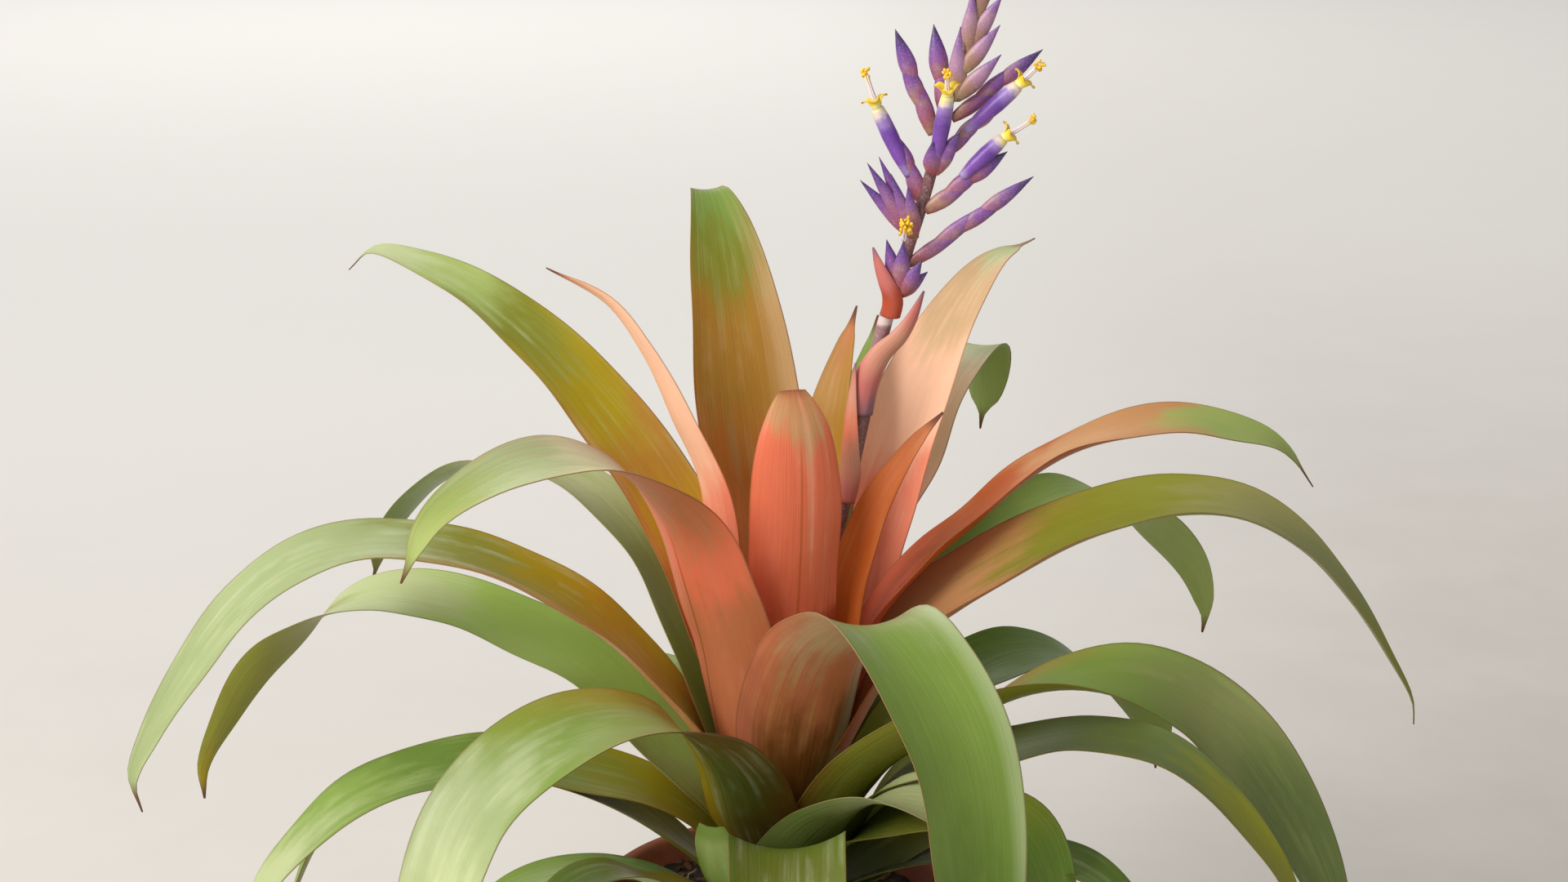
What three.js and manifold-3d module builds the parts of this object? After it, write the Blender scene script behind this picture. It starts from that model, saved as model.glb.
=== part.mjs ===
// A tillandsia maxima in flower, standing in a tapered clay pot.
// Millimetres, +Z up: the pot stands on z = 0, its axis is the Z axis, and the front of the plant faces -Y.
import * as THREE from 'three';
import { mergeVertices } from 'three/addons/utils/BufferGeometryUtils.js';
import Module from 'manifold-3d';

// Driving dimensions
const POT_HEIGHT = 215;
const POT_RIM_RADIUS = 120;
const POT_FOOT_RADIUS = 82;
const POT_WALL = 7;
const RIM_BAND = 32;
const SOIL_LEVEL = 200;
const GAP = 0.3;
const LEAF_THICK = 1.4;
const LEAF_EDGE = 0.9;
const LEAF_TIP_WIDTH = 2;
const LEAF_STEPS = 11;
const LEAF_ACROSS = 4;
const SEAT_WIDTH = 20;
const NECK_LENGTH = 65;
const LEAF_TWIST = [0.35, 1];
const SEAT_TOP = 80;
const SEAT_BOTTOM = 8;
const STALK_RADIUS = 6.5;
const STALK_TOP_RADIUS = 2.5;

const wasm = await Module();
wasm.setup();

const smooth = (x) => {
  const t = Math.min(1, Math.max(0, x));
  return t * t * (3 - 2 * t);
};
const mix = (a, b, t) => a + (b - a) * t;
const radians = THREE.MathUtils.degToRad;

// Solids and geometry

function solidOf(geometry) {
  const bare = new THREE.BufferGeometry()
    .setAttribute('position', geometry.getAttribute('position'))
    .setIndex(geometry.index);
  const merged = mergeVertices(bare, 1e-4);
  return new wasm.Manifold(new wasm.Mesh({
    numProp: 3,
    vertProperties: merged.attributes.position.array,
    triVerts: new Uint32Array(merged.index.array),
  }));
}

function geometryOf(solid) {
  const mesh = solid.getMesh();
  const geometry = new THREE.BufferGeometry();
  geometry.setAttribute('position', new THREE.BufferAttribute(mesh.vertProperties, 3));
  geometry.setIndex(new THREE.BufferAttribute(mesh.triVerts, 1));
  geometry.computeVertexNormals();
  return geometry;
}

// The main body of a solid, with the slivers that cuts leave behind taken off
const largest = (solid) => solid.decompose().sort((a, b) => b.volume() - a.volume())[0].simplify(0.04);

function indexed(points, triangles) {
  const geometry = new THREE.BufferGeometry();
  geometry.setAttribute('position', new THREE.Float32BufferAttribute(points.flatMap((p) => [p.x, p.y, p.z]), 3));
  geometry.setIndex(triangles);
  return geometry;
}

// A round body turned about the Z axis from [radius, height] corners that start and end on the axis
function turned(corners, sides) {
  const profile = corners.map(([r, z]) => new THREE.Vector2(r, z));
  return solidOf(new THREE.LatheGeometry(profile, sides).rotateX(Math.PI / 2));
}

// A closed body through rings of points, with a fan of triangles over each end
function ringed(rings) {
  const sides = rings[0].length;
  const points = rings.flat();
  const triangles = [];
  for (let i = 0; i + 1 < rings.length; i += 1) {
    for (let j = 0; j < sides; j += 1) {
      const a = i * sides + j;
      const b = i * sides + (j + 1) % sides;
      triangles.push(a, b, b + sides, a, b + sides, a + sides);
    }
  }
  for (let j = 1; j + 1 < sides; j += 1) {
    const last = (rings.length - 1) * sides;
    triangles.push(0, j + 1, j, last, last + j, last + j + 1);
  }
  return solidOf(indexed(points, triangles));
}

// A round rod along a line of points, with a radius for each point
function rod(line, radii, sides) {
  const rings = line.map((p, i) => {
    const ahead = line[Math.min(i + 1, line.length - 1)];
    const behind = line[Math.max(i - 1, 0)];
    const along = ahead.clone().sub(behind).normalize();
    const side = new THREE.Vector3(0, 1, 0).cross(along).normalize();
    const up = along.clone().cross(side);
    return Array.from({ length: sides }, (_, j) => {
      const a = (2 * Math.PI * j) / sides;
      return p.clone()
        .addScaledVector(side, radii[i] * Math.cos(a))
        .addScaledVector(up, radii[i] * Math.sin(a));
    });
  });
  return ringed(rings);
}

// A thin sheet along a line of stations, closed all round, with a channel section whose edges bend
// towards the inner face. A station holds its point, side direction, width, cup angle and thickness.
function sheet(stations, across) {
  const last = stations.length - 1;
  const grid = stations.map((s, i) => {
    const along = stations[Math.min(i + 1, last)].point.clone()
      .sub(stations[Math.max(i - 1, 0)].point).normalize();
    let side = s.side.clone().addScaledVector(along, -s.side.dot(along)).normalize();
    let inner = along.clone().cross(side);
    const turn = radians(s.roll ?? 0);
    const turnedSide = side.clone().multiplyScalar(Math.cos(turn)).addScaledVector(inner, Math.sin(turn));
    inner = inner.multiplyScalar(Math.cos(turn)).addScaledVector(side, -Math.sin(turn));
    side = turnedSide;
    const radius = s.width / s.cup;
    return Array.from({ length: across + 1 }, (_, j) => {
      const a = (j / across - 0.5) * s.cup;
      return s.point.clone()
        .addScaledVector(side, radius * Math.sin(a))
        .addScaledVector(inner, radius * (1 - Math.cos(a)));
    });
  });
  const face = (sign) => grid.flatMap((row, i) => row.map((p, j) => {
    const ds = grid[Math.min(i + 1, last)][j].clone().sub(grid[Math.max(i - 1, 0)][j]);
    const du = row[Math.min(j + 1, across)].clone().sub(row[Math.max(j - 1, 0)]);
    const edge = Math.abs((2 * j) / across - 1);
    const half = mix(stations[i].thick, stations[i].edge, edge) / 2;
    return p.clone().addScaledVector(ds.cross(du).normalize(), sign * half);
  }));
  const points = [...face(1), ...face(-1)];
  const under = (last + 1) * (across + 1);
  const at = (i, j) => i * (across + 1) + j;
  const triangles = [];
  const wall = (a, b) => triangles.push(a, a + under, b + under, a, b + under, b);
  for (let i = 0; i < last; i += 1) {
    for (let j = 0; j < across; j += 1) {
      const [a, b, c, d] = [at(i, j), at(i + 1, j), at(i + 1, j + 1), at(i, j + 1)];
      triangles.push(a, b, c, a, c, d);
      triangles.push(a + under, c + under, b + under, a + under, d + under, c + under);
    }
    wall(at(i, 0), at(i + 1, 0));
    wall(at(i + 1, across), at(i, across));
  }
  for (let j = 0; j < across; j += 1) {
    wall(at(0, j + 1), at(0, j));
    wall(at(last, j), at(last, j + 1));
  }
  return solidOf(indexed(points, triangles));
}

// Pot and soil

const foot = POT_FOOT_RADIUS;
const rim = POT_RIM_RADIUS;
const band = POT_HEIGHT - RIM_BAND;
const shoulder = rim - 6;
const SIDES = 24;
const pot = turned([
  [0, 0], [foot, 0], [shoulder - 5, band], [rim - 2, band], [rim, band + 4], [rim, POT_HEIGHT - 3],
  [rim - 3, POT_HEIGHT], [rim - POT_WALL - 2, POT_HEIGHT], [rim - POT_WALL - 4, POT_HEIGHT - 4],
  [rim - 6 - POT_WALL - 5, band], [foot - POT_WALL, 10], [0, 10],
], SIDES);
const drain = (angle) => turned([[0, -5], [6, -5], [6, 15], [0, 15]], 8)
  .translate([40 * Math.cos(radians(angle)), 40 * Math.sin(radians(angle)), 0]);
const drainedPot = [90, 210, 330].reduce((body, angle) => body.subtract(drain(angle)), pot);
const soil = turned([
  [0, 10 + GAP], [foot - POT_WALL - 0.6, 10 + GAP], [rim - 6 - POT_WALL - 5.6, band],
  [rim - POT_WALL - 7.6, SOIL_LEVEL], [0, SOIL_LEVEL],
], SIDES);

// Crown and flower stalk, one grown piece

// Radius of the crown at a height above the soil
const CROWN = [[-60, 14], [-40, 22], [0, 30], [25, 28], [55, 22], [80, 15], [92, 9]];
function crownRadius(height) {
  const k = Math.max(1, CROWN.findIndex(([h]) => h >= height));
  const [h0, r0] = CROWN[k - 1];
  const [h1, r1] = CROWN[k];
  return mix(r0, r1, (height - h0) / (h1 - h0));
}
const crown = (more) => turned([
  [0, SOIL_LEVEL + CROWN[0][0] - more],
  ...CROWN.map(([h, r]) => [r + more, SOIL_LEVEL + h]),
  [0, SOIL_LEVEL + CROWN.at(-1)[0] + more],
], 16);

// Points of the stalk: [x, height above the soil]
const STALK = [[0, 60], [12, 150], [28, 225], [43, 289], [64, 387], [78, 437], [90, 477], [105, 540], [118, 590]];
const stalkCurve = new THREE.CatmullRomCurve3(
  STALK.map(([x, h]) => new THREE.Vector3(x, 0, SOIL_LEVEL + h)), false, 'centripetal');
const stalkSteps = 12;
const stalkLine = stalkCurve.getSpacedPoints(stalkSteps);
const stalkRadii = stalkLine.map((_, i) => mix(STALK_RADIUS, STALK_TOP_RADIUS, (i / stalkSteps) ** 1.5));
const stalk = (more) => rod(stalkLine, stalkRadii.map((r) => r + more), 8);
const stem = crown(0).add(stalk(0));
const stemClearance = crown(GAP).add(stalk(GAP));

// Leaves

// Innermost leaf first. turn: compass angle at the base and the tip, counted from +X towards +Y.
// wide: greatest width. cup: angle that the channel section turns through. blunt: how late the tip narrows.
// path: [distance from the pot axis, height above the soil]. roll: twist about the midline, middle and tip.
// twist: where along the leaf the twist goes over from its middle value to that of the tip.
// neck: distance over which the base widens. tip: width of the tip.
const LEAVES = [
  { name: 'bud_front', turn: [-80, -75], wide: 60, cup: 85, blunt: 8, tip: 16, roll: [0, 0], path: [[34, 150], [44, 219], [54, 300], [50, 340], [38, 362]] },
  { name: 'tall_back_left', turn: [91, 107], wide: 74, cup: 60, blunt: 3.2, neck: 190, tip: 16, roll: [0, 0], path: [[25, 160], [32, 225], [45, 276], [65, 325], [88, 374], [128, 434], [154, 449], [164, 443]] },
  { name: 'narrow_back', turn: [60, 58], wide: 56, cup: 50, blunt: 1.8, neck: 150, roll: [0, 0], path: [[38, 180], [47, 258], [57, 297], [67, 332], [97, 386]] },
  { name: 'back_upper', turn: [64, 62], wide: 44, cup: 60, blunt: 2, neck: 120, roll: [0, 0], path: [[43, 180], [70, 247], [95, 294], [118, 331], [133, 352], [142, 370]] },
  { name: 'narrow_right', turn: [-18, -18], wide: 34, cup: 60, blunt: 1.8, roll: [72, 80], path: [[36, 160], [45, 227], [54, 257], [64, 286], [81, 316], [93, 333], [105, 347]] },
  { name: 'tall_right', turn: [50, 50], wide: 70, cup: 60, blunt: 2, neck: 120, roll: [5, 5], path: [[48, 140], [74, 194], [96, 244], [122, 288], [151, 332], [191, 374], [227, 396], [275, 404]] },
  { name: 'narrow_left', turn: [184, 174], wide: 50, cup: 70, blunt: 1.8, neck: 240, roll: [35, 35], path: [[32, 180], [43, 290], [61, 333], [81, 375], [102, 404], [140, 425]] },
  { name: 'folded_back_right', turn: [70, 55], wide: 60, cup: 50, blunt: 6, neck: 150, roll: [0, 0], path: [[72, 160], [116, 236], [149, 272], [179, 311], [213, 331], [242, 331], [252, 309], [247, 271]] },
  { name: 'high_left', turn: [150, 150], wide: 52, cup: 50, blunt: 2.6, neck: 170, roll: [-30, -20], path: [[37, 165], [62, 240], [90, 282], [126, 321], [169, 357], [220, 387], [273, 404], [310, 407], [330, 392]] },
  { name: 'back_left_upper', turn: [104, 104], wide: 56, cup: 60, blunt: 2, roll: [0, 0], path: [[52, 145], [82, 215], [115, 242], [150, 235], [190, 192], [215, 135]] },
  { name: 'coral_right', turn: [8, 12], wide: 50, cup: 80, blunt: 3.6, roll: [-8, 26], twist: [0.6, 0.86], path: [[40, 140], [68, 204], [99, 238], [125, 258], [157, 284], [192, 303], [228, 313], [262, 316], [296, 310], [325, 300], [340, 288], [355, 268]] },
  { name: 'folded_front_left', turn: [230, 226], wide: 80, cup: 60, blunt: 1.9, roll: [0, -20], path: [[32, 110], [42, 161], [49, 196], [64, 242], [80, 282], [112, 316], [150, 338], [192, 346], [233, 342], [267, 328], [287, 300]] },
  { name: 'broad_front', turn: [279, 299.5], wide: 76, cup: 70, blunt: 2.8, neck: 110, roll: [-5, 0], path: [[40, 90], [48, 119], [58, 160], [80, 202], [112, 233], [145, 247], [178, 231], [205, 200], [220, 157], [228, 108], [236, 32], [238, -40], [236, -70]] },
  { name: 'back_right_middle', turn: [36, 36], wide: 50, cup: 60, blunt: 4, neck: 120, roll: [10, -40], twist: [0.6, 0.9], path: [[60, 130], [122, 198], [157, 219], [200, 235], [247, 242], [297, 223], [344, 188], [372, 155], [382, 127], [380, 112]] },
  { name: 'back_left_middle', turn: [150, 150], wide: 58, cup: 60, blunt: 5, roll: [8, 0], path: [[38, 112], [66, 172], [82, 203], [102, 236], [133, 262], [163, 273], [192, 277], [220, 274], [247, 262], [278, 241], [305, 210], [324, 172]] },
  { name: 'long_right', turn: [2, -4], wide: 84, cup: 88, blunt: 1.6, roll: [7, 10], path: [[45, 120], [82, 190], [117, 221], [156, 247], [201, 271], [245, 283], [285, 281], [321, 261], [353, 227], [378, 190], [395, 160], [397, 145]] },
  { name: 'back_middle', turn: [88, 88], wide: 58, cup: 60, blunt: 2, roll: [0, 0], path: [[45, 100], [90, 150], [150, 178], [215, 170], [275, 130], [310, 70]] },
  { name: 'back_right_low', turn: [35, 35], wide: 56, cup: 60, blunt: 5, roll: [10, -40], twist: [0.6, 0.9], path: [[50, 72], [95, 112], [166, 134], [209, 136], [262, 116], [308, 86], [330, 50], [333, 20]] },
  { name: 'long_left', turn: [190, 186], wide: 66, cup: 70, blunt: 1.9, roll: [-7, -50], twist: [0.5, 0.95], path: [[37, 106], [67, 154], [107, 201], [151, 233], [195, 252], [249, 260], [294, 249], [329, 223], [360, 185], [386, 145], [400, 114], [396, 92]] },
  { name: 'twisted_left', turn: [165, 165], wide: 60, cup: 60, blunt: 1.8, roll: [-14, 52], twist: [0.58, 0.84], path: [[45, 78], [82, 114], [120, 155], [169, 178], [214, 192], [259, 196], [298, 184], [331, 160], [363, 130], [387, 94], [405, 58], [406, 35]] },
  { name: 'broad_left', turn: [253, 227], wide: 67, cup: 70, blunt: 3, neck: 48, roll: [-10, -5], path: [[52, 88], [68, 123], [100, 160], [138, 182], [175, 187], [212, 178], [245, 155], [267, 126], [286, 78], [295, 20], [297, -40]] },
  { name: 'low_right', turn: [308, 352], wide: 60, cup: 70, blunt: 3.4, neck: 15, roll: [-26, 48], twist: [0.27, 0.68], path: [[44, 72], [80, 126], [134, 165], [178, 182], [218, 181], [254, 165], [288, 138], [316, 102], [336, 66], [352, 28], [368, -28]] },
  { name: 'back_low_left', turn: [125, 125], wide: 56, cup: 60, blunt: 2, roll: [0, 0], path: [[45, 60], [95, 105], [150, 122], [205, 105], [245, 65]] },
  { name: 'back_low', turn: [85, 85], wide: 56, cup: 60, blunt: 2, roll: [0, 0], path: [[45, 75], [95, 120], [155, 140], [215, 125], [265, 80], [285, 30]] },
  { name: 'front_right_behind', turn: [305, 325], wide: 62, cup: 60, blunt: 2, neck: 18, roll: [12, 4], path: [[50, 58], [80, 84], [110, 100], [146, 112], [176, 108], [194, 84], [205, 38], [210, -30]] },
  { name: 'dark_right', turn: [332, 337], wide: 58, cup: 60, blunt: 1.2, roll: [8, 10], path: [[48, 56], [83, 109], [159, 142], [202, 157], [246, 156], [281, 138], [310, 109], [327, 85], [340, 50], [347, 4]] },
  { name: 'low_left', turn: [188, 193], wide: 60, cup: 60, blunt: 2.4, neck: 45, roll: [-10, -10], path: [[45, 62], [79, 90], [120, 107], [161, 118], [196, 122], [233, 118], [269, 105], [300, 79], [324, 50], [342, 7], [348, -20]] },
  { name: 'under_left', turn: [196, 182], wide: 52, cup: 60, blunt: 2, neck: 25, roll: [-8, 0], path: [[36, 28], [60, 54], [96, 85], [128, 103], [172, 113], [215, 109], [256, 92], [286, 66], [305, 31], [320, -15], [329, -62]] },
  { name: 'lowest_right', turn: [335, 335], wide: 50, cup: 50, blunt: 2, roll: [0, 0], path: [[50, 34], [85, 54], [120, 68], [165, 78], [205, 76], [236, 56], [258, 24], [266, -10]] },
  { name: 'front_arched', turn: [278, 322], wide: 60, cup: 70, blunt: 2.5, neck: 30, roll: [0, 0], path: [[52, 63], [80, 101], [108, 119], [136, 117], [162, 99], [180, 70], [190, 27], [194, -22]] },
  { name: 'front_short', turn: [276, 272], wide: 72, cup: 80, blunt: 3, roll: [0, 0], path: [[50, 43], [85, 76], [120, 103], [150, 114], [178, 105], [195, 72], [203, 20], [206, -50]] },
  { name: 'lowest_front_left', turn: [234, 224], wide: 44, cup: 60, blunt: 2, roll: [0, 0], path: [[50, 30], [75, 45], [104, 58], [135, 76], [166, 77], [200, 58], [225, 20]] },
  { name: 'lowest_left', turn: [203, 203], wide: 40, cup: 50, blunt: 2, roll: [0, 0], path: [[50, 24], [84, 42], [116, 54], [148, 58], [180, 53], [205, 38], [228, 14]] },
  { name: 'short_right', turn: [350, 352], wide: 68, cup: 70, blunt: 2, roll: [26, 26], path: [[45, 34], [80, 61], [112, 75], [140, 77]] },
  { name: 'lowest_back', turn: [60, 58], wide: 50, cup: 60, blunt: 2, roll: [0, 0], path: [[50, 45], [90, 85], [140, 102], [190, 90], [230, 52], [245, 15]] },
  { name: 'stub_front', turn: [252, 249], wide: 32, cup: 110, blunt: 7, tip: 16, roll: [0, 0], path: [[45, 26], [72, 42], [92, 66], [104, 92], [109, 110]] },
];

function leaf({ turn, wide, cup, blunt, neck = NECK_LENGTH, tip = LEAF_TIP_WIDTH, roll, twist = LEAF_TWIST, path }, rank, more) {
  const seat = mix(SEAT_TOP, SEAT_BOTTOM, rank / (LEAVES.length - 1));
  const corners = [[crownRadius(seat) - 4, seat], ...path].map(([r, h]) => new THREE.Vector3(r, 0, h));
  const curve = new THREE.CatmullRomCurve3(corners, false, 'centripetal');
  curve.arcLengthDivisions = 600;
  const length = curve.getLength();
  const profile = curve.getSpacedPoints(LEAF_STEPS);
  const stations = profile.map((p, i) => {
    const t = i / LEAF_STEPS;
    const heading = radians(mix(turn[0], turn[1], smooth(1.6 * t)));
    const ahead = profile[Math.min(i + 1, LEAF_STEPS)];
    const behind = profile[Math.max(i - 1, 0)];
    const steep = Math.max(0.25, (ahead.z - behind.z) / ahead.distanceTo(behind));
    const base = SEAT_WIDTH + (wide - SEAT_WIDTH) * smooth((t * length) / neck);
    const width = mix(tip, base, 1 - Math.max(0, (t - 0.3) / 0.7) ** blunt) + 2 * more;
    const hug = (width * steep) / Math.max(p.x, 12);
    return {
      point: new THREE.Vector3(p.x * Math.cos(heading), p.x * Math.sin(heading), SOIL_LEVEL + p.z),
      side: new THREE.Vector3(-Math.sin(heading), Math.cos(heading), 0),
      width,
      cup: mix(hug, radians(cup) * mix(1, 0.6, t), smooth((p.x - 20) / 50)),
      thick: mix(LEAF_THICK, LEAF_EDGE, smooth((t - 0.8) / 0.2)) + 2 * more,
      edge: LEAF_EDGE + 2 * more,
      roll: mix(roll[0] * smooth(t / 0.35), roll[1], smooth((t - twist[0]) / (twist[1] - twist[0]))),
    };
  });
  return sheet(stations, LEAF_ACROSS);
}

// Bracts on the stalk

// faces: compass angle that the outside looks to. path: [x, y, height above the soil]
const BRACTS = [
  { name: 'coral', faces: 232, wide: 24, path: [[66, -6, 399], [67, -7.5, 410], [64, -9, 420], [61, -9, 430], [58, -7, 442]] },
  { name: 'pink_upper', faces: -70, wide: 27, path: [[54, -8, 338], [57, -8.5, 356], [64, -9, 373], [75, -9, 386], [82, -8, 398], [89, -5, 415]] },
  { name: 'pink_lower', faces: 215, wide: 24, path: [[38, -6, 284], [41, -7, 300], [42, -8, 318], [44, -9, 341], [48, -8, 371]] },
];
const BRACT_STEPS = 7;

function bract({ faces, wide, path }, more) {
  const curve = new THREE.CatmullRomCurve3(
    path.map(([x, y, h]) => new THREE.Vector3(x, y, SOIL_LEVEL + h)), false, 'centripetal');
  const stations = curve.getSpacedPoints(BRACT_STEPS).map((point, i) => {
    const t = i / BRACT_STEPS;
    return {
      point,
      side: new THREE.Vector3(-Math.sin(radians(faces)), Math.cos(radians(faces)), 0),
      width: mix(LEAF_TIP_WIDTH, wide, 1 - Math.max(0, (t - 0.2) / 0.8) ** 1.3) + 2 * more,
      cup: radians(mix(210, 70, t)),
      thick: 1.1 + 2 * more,
      edge: 0.8 + 2 * more,
    };
  });
  return largest(sheet(stations, LEAF_ACROSS).subtract(stemClearance));
}

// Flower spikes

// How full a bract is along its length: [share of the length, share of the width]
const BRACT_SWELL = [[0, 0.4], [0.35, 1], [0.7, 0.75], [1, 0.1]];
const TUBE_SWELL = [[0, 0.5], [0.3, 0.9], [0.6, 1], [1, 0.7]];
const vector = ([x, y, h]) => new THREE.Vector3(x, y, SOIL_LEVEL + h);

function spindle(from, to, wide, swell, more) {
  const line = swell.map(([t]) => from.clone().lerp(to, t));
  return rod(line, swell.map(([, w]) => (w * wide) / 2 + more), 5);
}

// Bracts that overlap one another in two rows along a short axis, up to its tip
function overlapping(root, tip, count, wide, more) {
  const axis = tip.clone().sub(root);
  const out = new THREE.Vector3(0, 1, 0).cross(axis).normalize();
  const bodies = Array.from({ length: count }, (_, k) => {
    const start = root.clone().addScaledVector(axis, (0.75 * k) / count);
    const lean = k === count - 1 ? 0 : (k % 2 ? -0.3 : 0.3) * wide;
    const end = root.clone().addScaledVector(axis, mix(0.5, 1, (k + 1) / count) - 0.02 * (count - 1 - k))
      .addScaledVector(out, lean);
    return spindle(start, end, wide, BRACT_SWELL, more);
  });
  return bodies.reduce((all, body) => all.add(body));
}

// bracts: [root, tip, how many overlap, width]. tube: [start, end, width] of an open flower.
const SPIKES = [
  { name: 'lowest_cluster', bracts: [[[74, -4, 414], [66, -8, 447], 1, 9], [[74, -5, 414], [76, -13, 447], 1, 10],
    [[75, -5, 413], [87, -13, 435], 1, 9], [[74, -4, 412], [91, -6, 427], 1, 8]] },
  { name: 'left_fan', bracts: [[[84, -3, 446], [50, -4, 482], 1, 9], [[82, -4, 448], [54, -8, 493], 1, 9],
    [[82, -3, 450], [61, -4, 496], 1, 8], [[82, -6, 448], [67, -10, 484], 1, 8], [[83, -5, 448], [75, -12, 474], 1, 9]] },
  { name: 'left_flower', bracts: [[[87, 0, 468], [70, 0, 510], 2, 9]], tube: [[79, 0, 484], [60, 0, 524], 9] },
  { name: 'left_upper', bracts: [[[93, 2, 508], [70, 2, 570], 3, 9]] },
  { name: 'centre_upper', bracts: [[[101, 6, 517], [93, 10, 572], 2, 10]] },
  { name: 'front_flower', bracts: [[[93, -5, 486], [92, -16, 507], 1, 10], [[94, -5, 486], [108, -16, 513], 1, 9]],
    tube: [[94, -8, 492], [100, -20, 534], 10] },
  { name: 'right_upper', bracts: [[[104, 2, 517], [157, 4, 558], 3, 8]] },
  { name: 'right_flower', bracts: [[[97, -2, 496], [134, -6, 530], 3, 8]], tube: [[112, -4, 511], [142, -6, 538], 9] },
  { name: 'right_low_flower', bracts: [[[89, -2, 463], [137, -4, 499], 3, 9]], tube: [[110, -5, 484], [134, -6, 507], 9] },
  { name: 'right_lowest', bracts: [[[79, -1, 430], [153, -3, 484], 4, 8]] },
  { name: 'top', bracts: [[[106, 0, 528], [108, -2, 572], 1, 10], [[107, -1, 530], [132, -4, 556], 1, 9],
    [[109, -1, 545], [131, -3, 573], 1, 9], [[112, 0, 556], [115, -4, 592], 1, 9], [[113, 0, 560], [132, -2, 590], 1, 9],
    [[115, 1, 570], [121, 2, 606], 1, 9], [[116, 0, 575], [128, 0, 622], 1, 10]] },
];

function spike({ bracts, tube }, more) {
  const bodies = bracts.map(([root, tip, count, wide]) => (
    overlapping(vector(root), vector(tip), count, wide, more)));
  if (tube) bodies.push(spindle(vector(tube[0]), vector(tube[1]), tube[2], TUBE_SWELL, more));
  return bodies.reduce((all, body) => all.add(body));
}

// Open flowers: three petal tips bent back round the mouth of the tube, and anthers held out beyond it

// mouth: [x, y, height above the soil] where the tube opens. anthers: where they end. petal: petal length
const BLOOMS = [
  { name: 'left', mouth: [60, 0, 524], anthers: [53, 0, 544], petal: 8 },
  { name: 'front', mouth: [100, -20, 534], anthers: [99, -24, 547], petal: 8 },
  { name: 'right_upper', mouth: [142, -6, 538], anthers: [154, -7, 550], petal: 8 },
  { name: 'right_lower', mouth: [134, -6, 507], anthers: [151, -7, 518], petal: 8 },
  { name: 'lowest', mouth: [76, -13, 447], anthers: [77, -15, 459], petal: 3.5 },
];

function bloom({ mouth, anthers, petal }) {
  const [from, to] = [vector(mouth), vector(anthers)];
  const along = to.clone().sub(from).normalize();
  const across = new THREE.Vector3(0, 1, 0).cross(along).normalize();
  const centre = from.clone().addScaledVector(along, 1.5);
  const throat = rod([from, from.clone().addScaledVector(along, 4)], [3, 3.6], 5);
  const filaments = rod([centre, to], [1.5, 1.2], 4);
  const head = rod([
    to.clone().addScaledVector(along, -4), to.clone().addScaledVector(along, -1.5),
    to.clone().addScaledVector(along, 1.5)], [1.5, 3, 1.2], 5);
  const petals = [0, 1, 2].map((k) => {
    const out = across.clone().applyAxisAngle(along, (2 * Math.PI * k) / 3 + 0.5);
    const top = from.clone().addScaledVector(along, 3.2);
    const bend = top.clone().addScaledVector(out, petal * 0.7).addScaledVector(along, 0.8);
    const end = top.clone().addScaledVector(out, petal).addScaledVector(along, -2);
    return rod([top, bend, end], [2.2, 2.4, 1], 4);
  });
  return [throat, filaments, head, ...petals].reduce((all, body) => all.add(body));
}

// Assembly

const plant = new THREE.Group();
plant.name = 'tillandsia_maxima';

function place(name, solid, colour, roughness = 0.5) {
  const material = new THREE.MeshStandardMaterial({ color: colour, roughness });
  const mesh = new THREE.Mesh(geometryOf(solid), material);
  mesh.name = name;
  plant.add(mesh);
}

place('pot', drainedPot, 0xb5653c, 0.8);
place('soil', soil.subtract(crown(GAP)), 0x3b2a20, 0.9);
place('stem', stem, 0x7a5560);

const coral = new THREE.Color(0xe0785a);
const green = new THREE.Color(0x5f8f3f);
// Each leaf is cut clear of the crown and, deep in the rosette, of the leaves that grow inside it
const clearances = LEAVES.map((spec, rank) => leaf(spec, rank, GAP));
LEAVES.forEach((spec, rank) => {
  const body = clearances.slice(0, rank).reduce((rest, inner) => rest.subtract(inner), leaf(spec, rank, 0));
  place(`leaf_${spec.name}`, largest(body.subtract(stemClearance)), coral.clone().lerp(green, smooth(rank / 14)));
});

// Each spike is cut clear of the stalk and of the spikes before it
const spikes = SPIKES.map((spec, i) => {
  const others = SPIKES.slice(0, i).map((other) => spike(other, GAP));
  return largest(others.reduce((body, other) => body.subtract(other), spike(spec, 0).subtract(stemClearance)));
});
const spikeClearance = SPIKES.map((spec) => spike(spec, GAP)).reduce((all, body) => all.add(body));
// Each bract is cut clear of the spikes and of the bracts above it
BRACTS.forEach((spec, i) => {
  const body = BRACTS.slice(0, i).reduce((rest, upper) => rest.subtract(bract(upper, GAP)), bract(spec, 0));
  place(`bract_${spec.name}`, largest(body.subtract(spikeClearance)), spec.name === 'coral' ? 0xd9604f : 0xc98a8f);
});
SPIKES.forEach((spec, i) => place(`spike_${spec.name}`, spikes[i], 0x8a5aa8));
BLOOMS.forEach((spec) => {
  place(`bloom_${spec.name}`, largest(bloom(spec).subtract(spikeClearance)), 0xf0cf20, 0.6);
});

export default plant;
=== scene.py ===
# Dresses a tillandsia maxima in flower: fine leaves, flower spikes, bark and a clay pot over the solids.
# Metres, +Z up: the pot stands on z = 0, and the front of the plant faces -Y.
import math
import random

import bpy
import numpy as np
from mathutils import Matrix, Vector, noise


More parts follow.
